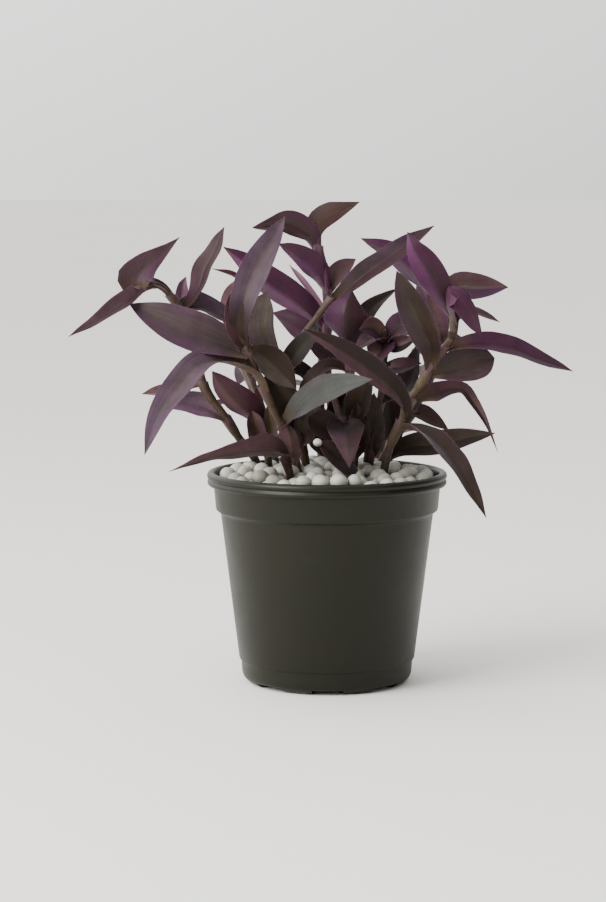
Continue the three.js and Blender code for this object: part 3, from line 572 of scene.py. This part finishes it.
# ---- materials
class Nodes:
    """The nodes of a material, or of a world, with a short way to add and link them."""

    def __init__(self, owner, shader):
        owner.use_nodes = True
        self.owner = owner
        self.tree = owner.node_tree
        self.shader = self.tree.nodes[shader]

    def node(self, kind, settings=None, **inputs):
        made = self.tree.nodes.new("ShaderNode" + kind)
        for key, value in (settings or {}).items():
            setattr(made, key, value)
        for key, value in inputs.items():
            self.put(made.inputs[key.replace("_", " ")], value)
        return made

    def put(self, socket, value):
        if isinstance(value, bpy.types.NodeSocket):
            self.tree.links.new(value, socket)
        else:
            socket.default_value = value

    def math(self, operation, a, b=0.0):
        made = self.node("Math", {"operation": operation})
        self.put(made.inputs[0], a)
        self.put(made.inputs[1], b)
        return made.outputs[0]

    def times(self, a, b):
        return self.math("MULTIPLY", a, b)

    def ranged(self, value, low, high, to_low, to_high):
        made = self.node("MapRange")
        for socket, number in zip(made.inputs, (value, low, high, to_low, to_high)):
            self.put(socket, number)
        return made.outputs[0]

    def swing(self, value, to_low, to_high):
        """Another range for a noise, most of which lies between 0.3 and 0.7."""
        return self.ranged(value, 0.3, 0.7, to_low, to_high)

    def noise(self, vector, scale, detail=2.0, roughness=0.5):
        made = self.node("TexNoise", Vector=vector, Scale=scale, Detail=detail, Roughness=roughness)
        return made.outputs["Fac"]

    def stretched(self, vector, scale):
        made = self.node("Mapping", Vector=vector)
        made.inputs["Scale"].default_value = scale
        return made.outputs[0]

    def mix(self, factor, a, b):
        made = self.node("Mix", {"data_type": "RGBA"})
        self.put(made.inputs[0], factor)
        self.put(made.inputs[6], a)
        self.put(made.inputs[7], b)
        return made.outputs[2]

    def scaled(self, tint, factor):
        made = self.node("VectorMath", {"operation": "SCALE"})
        self.put(made.inputs[0], tint)
        self.put(made.inputs["Scale"], factor)
        return made.outputs[0]

    def attribute(self, name):
        return self.node("Attribute", {"attribute_name": name}).outputs["Color"]

    def object_place(self):
        return self.node("TexCoord").outputs["Object"]

    def bump(self, height, strength, distance):
        made = self.node("Bump", Height=height, Strength=strength, Distance=distance)
        self.put(self.shader.inputs["Normal"], made.outputs[0])

    def finish(self, base, roughness, **constants):
        self.put(self.shader.inputs["Base Color"], base)
        self.put(self.shader.inputs["Roughness"], roughness)
        for key, value in constants.items():
            self.shader.inputs[key.replace("_", " ")].default_value = value
        return self.owner


def material_nodes(name):
    return Nodes(bpy.data.materials.new(name), "Principled BSDF")


def leaf_material():
    """Parallel veins, a groove along the midrib, mottling and a downy sheen over the leaf's own tint."""
    n = material_nodes("leaf")
    place = n.node("UVMap", {"uv_map": "place"}).outputs[0]
    where = n.object_place()
    tint = n.attribute("tint")
    veins = n.noise(n.stretched(place, (34, 1.6, 1)), 1, 3, 0.6)
    fine_veins = n.noise(n.stretched(place, (90, 2.4, 1)), 1, 2, 0.5)
    mottle = n.noise(where, 110, 4, 0.6)
    speckle = n.noise(where, 900, 2, 0.6)
    place_across = n.node("SeparateXYZ", Vector=place).outputs[0]
    across = n.math("ABSOLUTE", n.math("SUBTRACT", place_across, 0.5))
    midrib = n.ranged(across, 0.0, 0.022, 1.0, 0.0)
    streaks = n.swing(veins, 0.74, 1.24)
    fine = n.swing(fine_veins, 0.88, 1.12)
    clouds = n.swing(mottle, 0.8, 1.22)
    dots = n.ranged(speckle, 0.35, 0.75, 0.94, 1.12)
    shade = n.times(n.times(streaks, fine), n.times(clouds, dots))
    shade = n.times(shade, n.ranged(midrib, 0, 1, 1.0, 0.86))
    base = n.scaled(tint, shade)
    roughness = n.swing(mottle, 0.44, 0.6)
    relief = n.math("ADD", n.times(veins, 0.7), n.times(speckle, 0.3))
    relief = n.math("SUBTRACT", relief, n.times(midrib, 0.8))
    n.bump(relief, 0.35, 0.0004)
    return n.finish(
        base, roughness, Sheen_Weight=0.06, Sheen_Roughness=0.45, Sheen_Tint=(0.86, 0.74, 0.9, 1),
        Specular_IOR_Level=0.17,
    )


def stem_material():
    """Fleshy stems with faint lengthwise streaks and reddish flecks."""
    n = material_nodes("stem")
    where = n.object_place()
    tint = n.attribute("tint")
    streaks = n.noise(n.stretched(where, (900, 900, 70)), 1, 3, 0.6)
    clouds = n.noise(where, 90, 3, 0.6)
    flecks = n.noise(where, 700, 2, 0.5)
    shade = n.times(n.swing(streaks, 0.84, 1.16), n.swing(clouds, 0.85, 1.15))
    reddish = n.mix(n.ranged(flecks, 0.55, 0.7, 0, 0.35), tint, (0.12, 0.05, 0.06, 1))
    base = n.scaled(reddish, shade)
    n.bump(n.math("ADD", streaks, n.times(flecks, 0.4)), 0.3, 0.0004)
    return n.finish(base, n.swing(clouds, 0.4, 0.58), Sheen_Weight=0.06, Specular_IOR_Level=0.25)


def hair_material():
    n = material_nodes("hair")
    tint = n.attribute("tint")
    base = n.scaled(tint, n.swing(n.noise(n.object_place(), 300), 0.8, 1.15))
    return n.finish(base, 0.6, Sheen_Weight=0.3)


def pot_material():
    """Dark satin plastic with a fine moulded grain, soft scuffs, and dust on what faces up."""
    n = material_nodes("pot plastic")
    where = n.object_place()
    broad = n.noise(where, 22, 4, 0.6)
    streaks = n.noise(n.stretched(where, (120, 120, 16)), 1, 3, 0.6)
    grain = n.noise(where, 2600, 2, 0.5)
    scuffs = n.noise(n.stretched(where, (60, 60, 420)), 1, 4, 0.7)
    up = n.node("SeparateXYZ", Vector=n.node("NewGeometry").outputs["Normal"]).outputs[2]
    dust = n.times(n.ranged(up, 0.35, 0.95, 0, 1), n.ranged(broad, 0.35, 0.65, 0.25, 0.8))
    shade = n.times(n.swing(broad, 0.9, 1.1), n.swing(streaks, 0.94, 1.07))
    plastic = n.scaled((0.0036, 0.0035, 0.0012), shade)
    scuffed = n.mix(n.ranged(scuffs, 0.62, 0.78, 0, 0.22), plastic, (0.024, 0.0225, 0.017, 1))
    base = n.mix(n.times(dust, 0.3), scuffed, (0.075, 0.07, 0.058, 1))
    n.bump(n.math("ADD", grain, n.times(broad, 2)), 0.12, 0.0003)
    roughness = n.swing(broad, 0.38, 0.5)
    return n.finish(base, roughness, Specular_IOR_Level=0.235, Specular_Tint=(0.98, 0.99, 0.9, 1))


def pebble_material():
    """Tumbled off-white stone, cloudy, with faint darker veins and a fine matte skin."""
    n = material_nodes("pebble stone")
    where = n.object_place()
    tint = n.attribute("tint")
    clouds = n.noise(where, 160, 4, 0.6)
    grain = n.noise(where, 1500, 3, 0.6)
    veins = n.noise(n.stretched(where, (260, 90, 300)), 1, 5, 0.7)
    shade = n.times(n.swing(clouds, 0.86, 1.08), n.swing(grain, 0.95, 1.04))
    stone = n.scaled(tint, shade)
    base = n.mix(n.ranged(veins, 0.6, 0.72, 0, 0.3), stone, (0.34, 0.32, 0.27, 1))
    n.bump(n.math("ADD", grain, clouds), 0.25, 0.0003)
    return n.finish(base, n.swing(clouds, 0.42, 0.62))


def soil_material():
    n = material_nodes("potting soil")
    where = n.object_place()
    crumbs = n.noise(where, 420, 5, 0.7)
    damp = n.noise(where, 60, 3, 0.6)
    dark = n.scaled((0.03, 0.02, 0.013), n.swing(damp, 0.7, 1.3))
    base = n.mix(n.ranged(crumbs, 0.45, 0.7, 0, 0.6), dark, (0.075, 0.05, 0.032, 1))
    n.bump(crumbs, 0.9, 0.002)
    return n.finish(base, n.swing(damp, 0.75, 0.95))


def floor_material():
    n = material_nodes("pale floor")
    cast = n.noise(n.object_place(), 0.7, 3, 0.5)
    base = n.mix(cast, (0.76, 0.745, 0.72, 1), (0.8, 0.79, 0.77, 1))
    return n.finish(base, 0.85)


# ---- pot
def pot_outside():
    """The outer profile from the middle of the underside up to the collar, as (radius, height)."""
    base = [
        (FOOT_R - FOOT_WIDTH - 2, FLOOR_UNDERSIDE),
        (FOOT_R - FOOT_WIDTH - 0.8, 1.6),
        (FOOT_R - FOOT_WIDTH, 0.3),
        (FOOT_R - FOOT_WIDTH + 0.5, 0),
        (FOOT_R - 0.6, 0),
        (FOOT_R + 0.4, 0.2),
    ]
    # the foot's rounded corner
    for k in range(1, 9):
        turn = math.radians(10 * k)
        base.append((FOOT_R + 0.4 + CORNER_R * math.sin(turn), CORNER_R - (CORNER_R - 0.2) * math.cos(turn)))
    body = [
        (BASE_R, 9),
        (BASE_R + 0.3, BASE_TOP - 1.3),
        (BASE_R + 0.6, BASE_TOP - 0.5),
        (BODY_FOOT_R - 0.2, BASE_TOP - 0.1),
        (BODY_FOOT_R + 0.1, BASE_TOP + 0.7),
        (BODY_TOP_R - 0.1, COLLAR_BOTTOM - 3.2),
        (BODY_TOP_R + 0.2, COLLAR_BOTTOM - 2.2),
        (BODY_TOP_R + 1.2, COLLAR_BOTTOM - 1.2),
        (COLLAR_R - 2.2, COLLAR_BOTTOM - 0.6),
        (COLLAR_R - 1.5, COLLAR_BOTTOM),
        (COLLAR_R - 1.2, COLLAR_BOTTOM + 1),
        (COLLAR_R - 0.1, RIM_TOP - 10),
        (COLLAR_R + 0.4, RIM_TOP - 9),
    ]
    return base + body


def pot_rim():
    """Two rounded ridges with a groove between them, then the lip and the inner edge."""
    steps = [
        (2.6, 8.7), (1.3, 8.4), (0.5, 7.7), (0.2, 6.8), (0.4, 5.7), (1, 5), (1.1, 4.5), (0.5, 4), (0.1, 3.2),
        (0, 2.4), (0.3, 1.3), (1, 0.5), (2, 0.1), (2.9, 0), (3.9, 0.3), (4.6, 1.1), (4.9, 2.2),
    ]
    return [(RIM_R - inward, RIM_TOP - down) for inward, down in steps]


def pot_inside():
    return [
        (COLLAR_R - 1.6, RIM_TOP - 8.9),
        (COLLAR_R - 3.1, COLLAR_BOTTOM + 1),
        (COLLAR_R - 3.5, COLLAR_BOTTOM),
        (BODY_TOP_R - WALL, COLLAR_BOTTOM - 2.6),
        (BODY_FOOT_R - WALL, BASE_TOP),
        (FOOT_R + 4, FLOOR_TOP + 2),
        (FOOT_R + 2, FLOOR_TOP),
    ]


def notch_angles():
    """Evenly spaced angles round the pot, with one on each side of each notch's two walls."""
    full = 2 * math.pi
    angles = even_angles(POT_SIDES)
    for middle in even_angles(NOTCHES):
        for wall in (middle - NOTCH_HALF_TURN, middle + NOTCH_HALF_TURN):
            angles = [a for a in angles if abs((a - wall + math.pi) % full - math.pi) > NOTCH_CLEAR_TURN]
            angles += [(wall - NOTCH_WALL_TURN) % full, (wall + NOTCH_WALL_TURN) % full]
    return sorted(angles)


def in_notch(angle):
    pitch = 2 * math.pi / NOTCHES
    return abs((angle + pitch / 2) % pitch - pitch / 2) < NOTCH_HALF_TURN


def make_pot():
    skin = Skin()
    rings = []
    angles = notch_angles()
    for radius, height in pot_outside() + pot_rim() + pot_inside():
        ring = []
        for angle in angles:
            z = max(height, NOTCH_HEIGHT) if in_notch(angle) else height
            ring.append(skin.add(polar(radius, angle, z), (1, 1, 1)))
        rings.append(ring)
    skin.rings(rings, 0)
    return cut_drains(skin.build("pot_shell", [pot_material()], 35))


def cut_drains(pot):
    """Drain holes through the raised floor."""
    drills = Skin()
    for turn in even_angles(NOTCHES):
        rings = []
        for z in (FLOOR_UNDERSIDE - 2, FLOOR_TOP + 2):
            centre = polar(DRAIN_RING_R, turn, z)
            rings.append(drills.level_ring(centre, DRAIN_R, DRAIN_SIDES, (1, 1, 1)))
        drills.rings(rings, 0)
    cutter = drills.build("drain_drills", [])
    modifier = pot.modifiers.new("drains", "BOOLEAN")
    modifier.operation = "DIFFERENCE"
    modifier.solver = "EXACT"
    modifier.object = cutter
    evaluated = pot.evaluated_get(bpy.context.evaluated_depsgraph_get())
    mesh = bpy.data.meshes.new_from_object(evaluated)
    pot.modifiers.remove(modifier)
    pot.data = mesh
    bpy.data.objects.remove(cutter)
    return pot


# ---- pebbles
def heap(radius):
    return BED_HEAP * (1 - (radius / BED_R) ** 4)


def pebble_places(rng):
    """A full lower layer of stones on rings, and an upper one with gaps that rests in its hollows."""
    places = []
    for layer, (drop, kept) in enumerate(((0, UPPER_KEPT), (LAYER_DROP, 1))):
        edge = BED_R - PEBBLE_R - 0.4
        ring = 0
        while edge - ring * PEBBLE_PITCH > 0:
            radius = edge - ring * PEBBLE_PITCH - layer * PEBBLE_PITCH / 2
            count = max(1, int(2 * math.pi * abs(radius) / PEBBLE_PITCH))
            turn = rng.random()
            for i in range(count):
                angle = 2 * math.pi * (i + turn + rng.uniform(-0.1, 0.1)) / count
                out = radius + rng.uniform(-0.9, 0.3)
                z = PEBBLE_Z + heap(out) - drop + rng.uniform(-0.7, 1)
                if rng.random() < kept:
                    places.append(polar(out, angle, z))
            ring += 1
    return places


def stone(skin, centre, radius, rng):
    """A rounded stone: a ball, squashed and gently lumpy, with painted shade on its lower side and towards
    +x.
    """
    squash = Vector((rng.uniform(0.94, 1.06), rng.uniform(0.92, 1.03), rng.uniform(0.84, 0.98)))
    spin = rng.uniform(0, math.pi)
    seed = rng.uniform(0, 50)
    warm = rng.random()
    tint = Vector(STONE_PALE).lerp(Vector(STONE_WARM), warm ** 3) * rng.uniform(0.76, 1.08)
    # Painted shade: stones further towards +x are darker, standing in for the shadow the leaves cast on that
    # side.
    tint *= lerp(1, 0.78, smoothstep(5, 60, centre.x))
    rings = []
    for i in range(STONE_ROWS + 1):
        tilt = math.pi * lerp(0.03, 0.97, i / STONE_ROWS)
        ring = []
        for turn in even_angles(STONE_COLUMNS):
            way = polar(math.sin(tilt), turn, -math.cos(tilt))
            lump = 1 + 0.07 * noise.noise(way * 1.1 + Vector((seed, 0, 0)))
            local = Vector((way.x * squash.x, way.y * squash.y, way.z * squash.z)) * (radius * lump)
            turned = Vector((
                local.x * math.cos(spin) - local.y * math.sin(spin),
                local.x * math.sin(spin) + local.y * math.cos(spin),
                local.z,
            ))
            # Painted shade: each stone is darker on its lower side, where it sits among its neighbours.
            ring.append(skin.add(centre + turned, tint * lerp(0.3, 1, smoothstep(-0.75, 0.35, way.z))))
        rings.append(ring)
    skin.rings(rings, 0)


def make_stray_stone():
    """One small stone that rests on the tip of a low leaf."""
    skin = Skin()
    stone(skin, Vector(STRAY_PLACE), STRAY_R, random.Random(4))
    return skin.build("stray_stone", [pebble_material()], 80)


def make_pebbles():
    rng = random.Random(11)
    skin = Skin()
    bed = [
        (0.5, BED_BOTTOM),
        (BED_R - 0.9, BED_BOTTOM),
        (BED_R, BED_EDGE_Z),
        (BED_R / 2, BED_EDGE_Z + 2.4),
        (0.5, BED_EDGE_Z + 3.2),
    ]
    skin.rings([skin.level_ring(Vector((0, 0, z)), radius, BED_SIDES, BED_GAP_SHADE) for radius, z in bed], 0)
    feet = [Vector(stem["path"][0][:2]) for stem in STEMS.values()]
    for place in pebble_places(rng):
        radius = PEBBLE_R * rng.uniform(0.86, 1.04)
        for foot in feet:
            away = Vector(place[:2]) - foot
            room = radius * 0.9 + STEM_FOOT_R
            if 0.01 < away.length < room:
                pushed = foot + away.normalized() * room
                place = Vector((pushed.x, pushed.y, place.z))
        if Vector(place[:2]).length + radius < BED_R + 1.2:
            stone(skin, place, radius, rng)
    return skin.build("pebble_stones", [pebble_material()], 80)


# ---- leaves
# Material slots of a leafy stem.
LEAF, STEM, HAIR = 0, 1, 2


def blade_outline(share, widest, taper):
    """Half width at a share of the length, as a share of the widest."""
    if share < widest:
        return BLADE_FOOT + (1 - BLADE_FOOT) * math.sin(share / widest * math.pi / 2)
    past = (share - widest) / (1 - widest)
    return 1 - past ** taper


def keel(across):
    """How high the blade stands over its keel, from 0 in the middle to 1 at the margin."""
    return (math.sqrt(across ** 2 + KEEL_SOFTNESS ** 2) - KEEL_SOFTNESS) / (
        math.sqrt(1 + KEEL_SOFTNESS ** 2) - KEEL_SOFTNESS)


def tinged(tint, name, amount):
    """A tint leaning towards a palette colour's hue, as bright as before."""
    other = colour(name)
    return tint.lerp(other * (sum(tint) / sum(other)), amount)


# How readily a colour turns violet or brown, and how green its heart is.
LEANINGS = {
    "slate": 0.25, "ash": 0.3, "fog": 0.3, "ink": 0.3, "shade": 0.4, "peat": 0.4, "moss": 0.5, "umber": 0.6,
    "pearl": 0.6, "lilac": 0.7,
}
HEARTS = {"slate": 0.2, "dusk": 0.5, "lilac": 0.4, "mauve": 0.3, "taupe": 0.45, "moss": 0.4, "ash": 0.4}


def leaf_tint(point, share, across, look, foot, reach, seed):
    """The leaf's colour: its halves (partly painted light and shade), a greener heart, a violet and paler
    margin, and the foot's own.
    """
    left, right = look if isinstance(look, tuple) else (look, look)
    away = abs(across)
    turn = smoothstep(-HALF_BLEND, HALF_BLEND, across)
    # Painted light and shade, in part: a face's two halves differ by how each faces the light as well as by
    # their own colour.
    tint = colour(left).lerp(colour(right), turn)
    heart = lerp(HEARTS.get(left, 0.1), HEARTS.get(right, 0.1), turn)
    green = heart * (1 - away) * smoothstep(0.25, 0.75, patch(point, 14, seed)) * smoothstep(1, 0.6, share)
    tint = tint.lerp(colour("green"), green)
    lean = LEANINGS.get(left, 1)
    edge = smoothstep(0.3, 0.95, away) * smoothstep(0.3, 0.7, patch(point, 24, seed + 3))
    tint = tinged(tint, "violet", 0.55 * lean * edge)
    brown = (1 - away) * smoothstep(0.42, 0.66, patch(point, 20, seed + 7))
    tint = tinged(tint, "moss", 0.35 * lean * brown)
    tint = tint.lerp(colour("margin"), 0.25 * smoothstep(0.84, 1, away))
    tint = tint.lerp(colour(foot), 0.85 * (1 - smoothstep(reach - 0.2, reach, share)))
    tint *= lerp(0.86, 1.14, patch(point, 30, seed + 5))
    return tint * lerp(1, 0.8, smoothstep(0.9, 1, share))


def blade(skin, spec, bark, seed):
    """A keeled blade: upper and under sheets joined along their margins."""
    rng = random.Random(seed)
    curve = smooth_points(spec["route"])
    length = chain_length(curve)
    rows = max(BLADE_MIN_ROWS, round(length / BLADE_STEP))
    midrib = Line(curve, rows, spec["face"])
    phases = {1: rng.uniform(0, 6.28), -1: rng.uniform(0, 6.28)}
    waves = length / rng.uniform(*WAVE_LENGTHS)
    swell = rng.uniform(*WAVE_HEIGHTS)
    foot = spec["foot"] or bark
    rings = []
    margins = {1: [], -1: []}
    for i in range(rows + 1):
        share = i / rows
        half = max(BLADE_TIP, spec["width"] / 2 * blade_outline(share, spec["widest"], spec["taper"]))
        opening = math.radians(lerp(BLADE_CLASP, spec["fold"], min(1, share / spec["widest"])))
        tangent = midrib.tangents[i]
        up = midrib.normals[i]
        side = tangent.cross(up)
        rounding = 1 - smoothstep(0, 0.25, share)
        upper_row = []
        under_row = []
        for j in range(-BLADE_COLUMNS, BLADE_COLUMNS + 1):
            across = j / BLADE_COLUMNS
            away = abs(across)
            lean = across / math.sqrt(across * across + LEAN_SOFTNESS)
            height = lerp(keel(away), away * away, rounding) - MARGIN_DROOP * away ** 4
            ripple = 0
            if j:
                turn = 2 * math.pi * waves * share + phases[1 if j > 0 else -1]
                ripple = swell * math.sin(turn) * away * away
                ripple = ripple * smoothstep(0, 0.3, share) * smoothstep(1, 0.8, share)
            rise = half * math.sin(opening) * height + ripple
            middle = midrib.points[i] + side * (half * math.cos(opening) * across) + up * rise
            middle.z = min(middle.z, PLANT_TOP - BLADE_THICK)
            out = up * math.cos(opening) - side * (lean * math.sin(opening))
            thick = lerp(BLADE_THICK, BLADE_MARGIN_THICK, away * away) * lerp(1, 0.5, share)
            groove = GROOVE_DEPTH * math.exp(-(across / GROOVE_SPREAD) ** 2) * (1 - share)
            rib = RIB_DEPTH * math.exp(-(across / RIB_SPREAD) ** 2) * (1 - share) ** 0.7
            top = middle + out * (thick / 2 - groove)
            bottom = middle - out * (thick / 2 + rib)
            for row, point, look, shift in ((upper_row, top, "upper", 0), (under_row, bottom, "under", 9)):
                tint = leaf_tint(point, share, across, spec[look], foot, spec["reach"], seed + shift)
                row.append(skin.add(point, tint, (0.5 + across / 2, share)))
            if away == 1:
                margins[j // BLADE_COLUMNS].append((middle, side * across, up, tangent))
        rings.append(upper_row[::-1] + under_row)
    skin.rings(rings, LEAF)
    for chain in margins.values():
        margin_hairs(skin, chain, rng)


def hair(skin, foot, tip, rng):
    """One tapering hair with three sides."""
    way = (tip - foot).normalized()
    side = way.orthogonal().normalized()
    other = way.cross(side)
    tint = colour("hair") * rng.uniform(0.75, 1.1)
    corners = []
    for turn in even_angles(3):
        offset = side * (HAIR_R * math.cos(turn)) + other * (HAIR_R * math.sin(turn))
        corners.append(skin.add(foot + offset, tint))
    end = skin.add(tip, tint)
    skin.face((corners[2], corners[1], corners[0]), HAIR)
    for k in range(3):
        skin.face((corners[k], corners[(k + 1) % 3], end), HAIR)


def margin_hairs(skin, chain, rng):
    """Short down along a margin, longest near the leaf's foot."""
    last = len(chain) - 1
    for i in range(1, last - 2):
        middle, out, up, along = chain[i]
        share = i / last
        for _ in range(2):
            foot = middle + along * rng.uniform(-BLADE_STEP / 2, BLADE_STEP / 2) - out * 0.1
            way = out + up * rng.uniform(-0.5, 0.6) + along * rng.uniform(-0.1, 0.7)
            reach = HAIR_LENGTH * lerp(1.2, 0.5, share) * rng.uniform(0.6, 1.1)
            tip = foot + way.normalized() * reach
            if tip.z < PLANT_TOP:
                hair(skin, foot, tip, rng)


# ---- stems
def stem_radius(share):
    return lerp(STEM_FOOT_R, STEM_TIP_R, share)


def stem_tube(skin, stem, seed):
    """The stem's round rod, swollen a little at each node, with a sheath below each leaf."""
    x, y, z = stem["path"][0]
    curve = smooth_points([(x, y, ROOT_Z), (x, y, (ROOT_Z + z) / 2)] + stem["path"])
    rows = round(chain_length(curve) / STEM_STEP)
    axis = Line(curve, rows, (0.1, -1, 0.1))
    feet = [axis.nearest(Vector(spec["route"][0])) for spec in stem["leaves"]]
    rings = []
    for i in range(rows + 1):
        near = max(math.exp(-((i - foot) * STEM_STEP / 3) ** 2) for foot in feet)
        radius = stem_radius(i / rows) + NODE_SWELL * near
        if i == rows:
            radius *= 0.5
        normal = axis.normals[i]
        side = axis.tangents[i].cross(normal)
        ring = []
        for angle in even_angles(STEM_SIDES):
            offset = normal * (radius * math.cos(angle)) + side * (radius * math.sin(angle))
            point = axis.points[i] + offset
            tint = colour(stem["bark"]).lerp(colour("maroon"), 0.4 * patch(point, 18, seed) + 0.2 * near)
            tint = tint * lerp(0.8, 1.15, patch(point, 9, seed + 2))
            ring.append(skin.add(point, tint * lerp(0.6, 1, smoothstep(125, 175, point.z))))
        rings.append(ring)
    skin.rings(rings, STEM)
    for foot, spec in zip(feet, stem["leaves"]):
        sheath(skin, axis, foot, spec, stem["bark"], seed)


def sheath(skin, axis, foot, spec, bark, seed):
    """The leaf's foot as a tube round the stem, opening at a slant towards the leaf."""
    rng = random.Random(seed)
    reach = round(SHEATH_LENGTH / STEM_STEP)
    leaf_way = Vector(spec["route"][1]) - Vector(spec["route"][0])
    look = spec["under"] if isinstance(spec["under"], str) else spec["under"][0]
    # Steps along the stem from the leaf's foot, and how far the sheath stands off.
    profile = [
        (-reach, -0.9), (-reach * 0.9, -0.25), (-reach * 0.6, 0.1), (-reach * 0.25, 0.35),
        (0.2, 0.55), (0.5, 0.6), (0.4, 0.3), (-1.2, -0.6),
    ]
    rings = []
    mouth = []
    for k, (shift, extra) in enumerate(profile):
        centre, tangent, normal = axis.frame_at(foot + shift)
        side = tangent.cross(normal)
        ring = []
        for angle in even_angles(STEM_SIDES):
            out = normal * math.cos(angle) + side * math.sin(angle)
            slant = 0.5 + 0.5 * out.dot(square_to(leaf_way, tangent))
            lift = SHEATH_SLANT * slant * smoothstep(-reach * 0.5, 0.2, shift)
            radius = stem_radius(foot / (len(axis.points) - 1)) + NODE_SWELL + extra
            point = centre + tangent * lift + out * radius
            aging = smoothstep(-reach, 0, shift)
            tint = colour(bark).lerp(colour(look), 0.65 * aging * patch(point, 12, seed))
            if k in MOUTH_RINGS:
                tint = tint.lerp(colour("rose"), 0.5)
            ring.append(skin.add(point, tint * lerp(0.85, 1.15, patch(point, 6, seed + 4))))
            if k == MOUTH_RINGS[-1]:
                mouth.append((point, out, tangent))
        rings.append(ring)
    skin.rings(rings, STEM)
    for point, out, tangent in mouth:
        way = tangent + out * rng.uniform(0.1, 0.7)
        hair(skin, point - tangent * 0.2, point + way.normalized() * rng.uniform(*MOUTH_HAIR_LENGTHS), rng)


def make_stem(name, stem, number, materials):
    skin = Skin()
    stem_tube(skin, stem, number)
    for k, spec in enumerate(stem["leaves"]):
        blade(skin, spec, stem["bark"], SEEDS_PER_STEM * number + k)
    return skin.build("leafy_" + name, materials, 55)


# ---- assembly
def stand_for(piece, node):
    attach(piece, "root")
    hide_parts(node)


stand_for(make_pot(), "pot")
stand_for(make_pebbles(), "pebbles")
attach(make_stray_stone(), "root")

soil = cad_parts["soil"]
soil.data.materials.clear()
soil.data.materials.append(soil_material())

plant_materials = [leaf_material(), stem_material(), hair_material()]
for number, (name, stem) in enumerate(STEMS.items()):
    stand_for(make_stem(name, stem, number, plant_materials), "stem_" + name)

# ---- stage
CAMERA_PLACE = (-0.015, -1.5, 0.312)
CAMERA_DIP = 0.111
LENS = 96.43
SENSOR_WIDTH = 36
FLOOR_REACH = 40
# Each light's place, size, power and tint, and what they all face.
LIGHTS = {
    "window": ((-1.5, -1.1, 1.2), 1.4, 88, (1, 0.98, 0.95)),
    "fill": ((1.6, -1.3, 0.9), 1.6, 6, (1, 0.96, 0.9)),
}
LIGHT_AIM = (0, 0, 0.15)
# The room's level along x, y and z: a direction's two ends, and the level at each.
ROOM_LEVELS = ((-1, 1, 1.85, 0.05), (-1, 1, 0.6, 1.25), (0, 0.3, 0.55, 0.88))
ROOM_TINT = (0.93, 0.92, 0.9)
ROOM_STRENGTH = 2.4


def make_floor():
    mesh = bpy.data.meshes.new("floor")
    corners = [(x * FLOOR_REACH, y * FLOOR_REACH, 0) for x, y in ((-1, -1), (1, -1), (1, 1), (-1, 1))]
    mesh.from_pydata(corners, [], [(0, 1, 2, 3)])
    mesh.materials.append(floor_material())
    floor = add_object("floor", mesh)


def make_light(name, place, size, power, tint):
    data = bpy.data.lights.new(name, "AREA")
    data.size = size
    data.energy = power
    data.color = tint
    light = add_object(name, data)
    light.location = place
    light.rotation_euler = (Vector(LIGHT_AIM) - Vector(place)).to_track_quat("-Z", "Y").to_euler()


def make_studio():
    """Soft light from all round: brighter from the left and from behind, dimmer at the floor's edge."""
    n = Nodes(bpy.data.worlds.new("studio"), "Background")
    way = n.node("SeparateXYZ", Vector=n.node("TexCoord").outputs["Generated"])
    tint = ROOM_TINT
    for axis, levels in enumerate(ROOM_LEVELS):
        tint = n.scaled(tint, n.ranged(way.outputs[axis], *levels))
    n.put(n.shader.inputs["Color"], tint)
    n.put(n.shader.inputs["Strength"], ROOM_STRENGTH)
    bpy.context.scene.world = n.owner


def make_camera():
    data = bpy.data.cameras.new("camera")
    data.lens = LENS
    data.sensor_width = SENSOR_WIDTH
    camera = add_object("camera", data)
    camera.location = CAMERA_PLACE
    camera.rotation_euler = (math.pi / 2 - CAMERA_DIP, 0, 0)
    bpy.context.scene.camera = camera


make_floor()
for name, light in LIGHTS.items():
    make_light(name, *light)
make_studio()
make_camera()
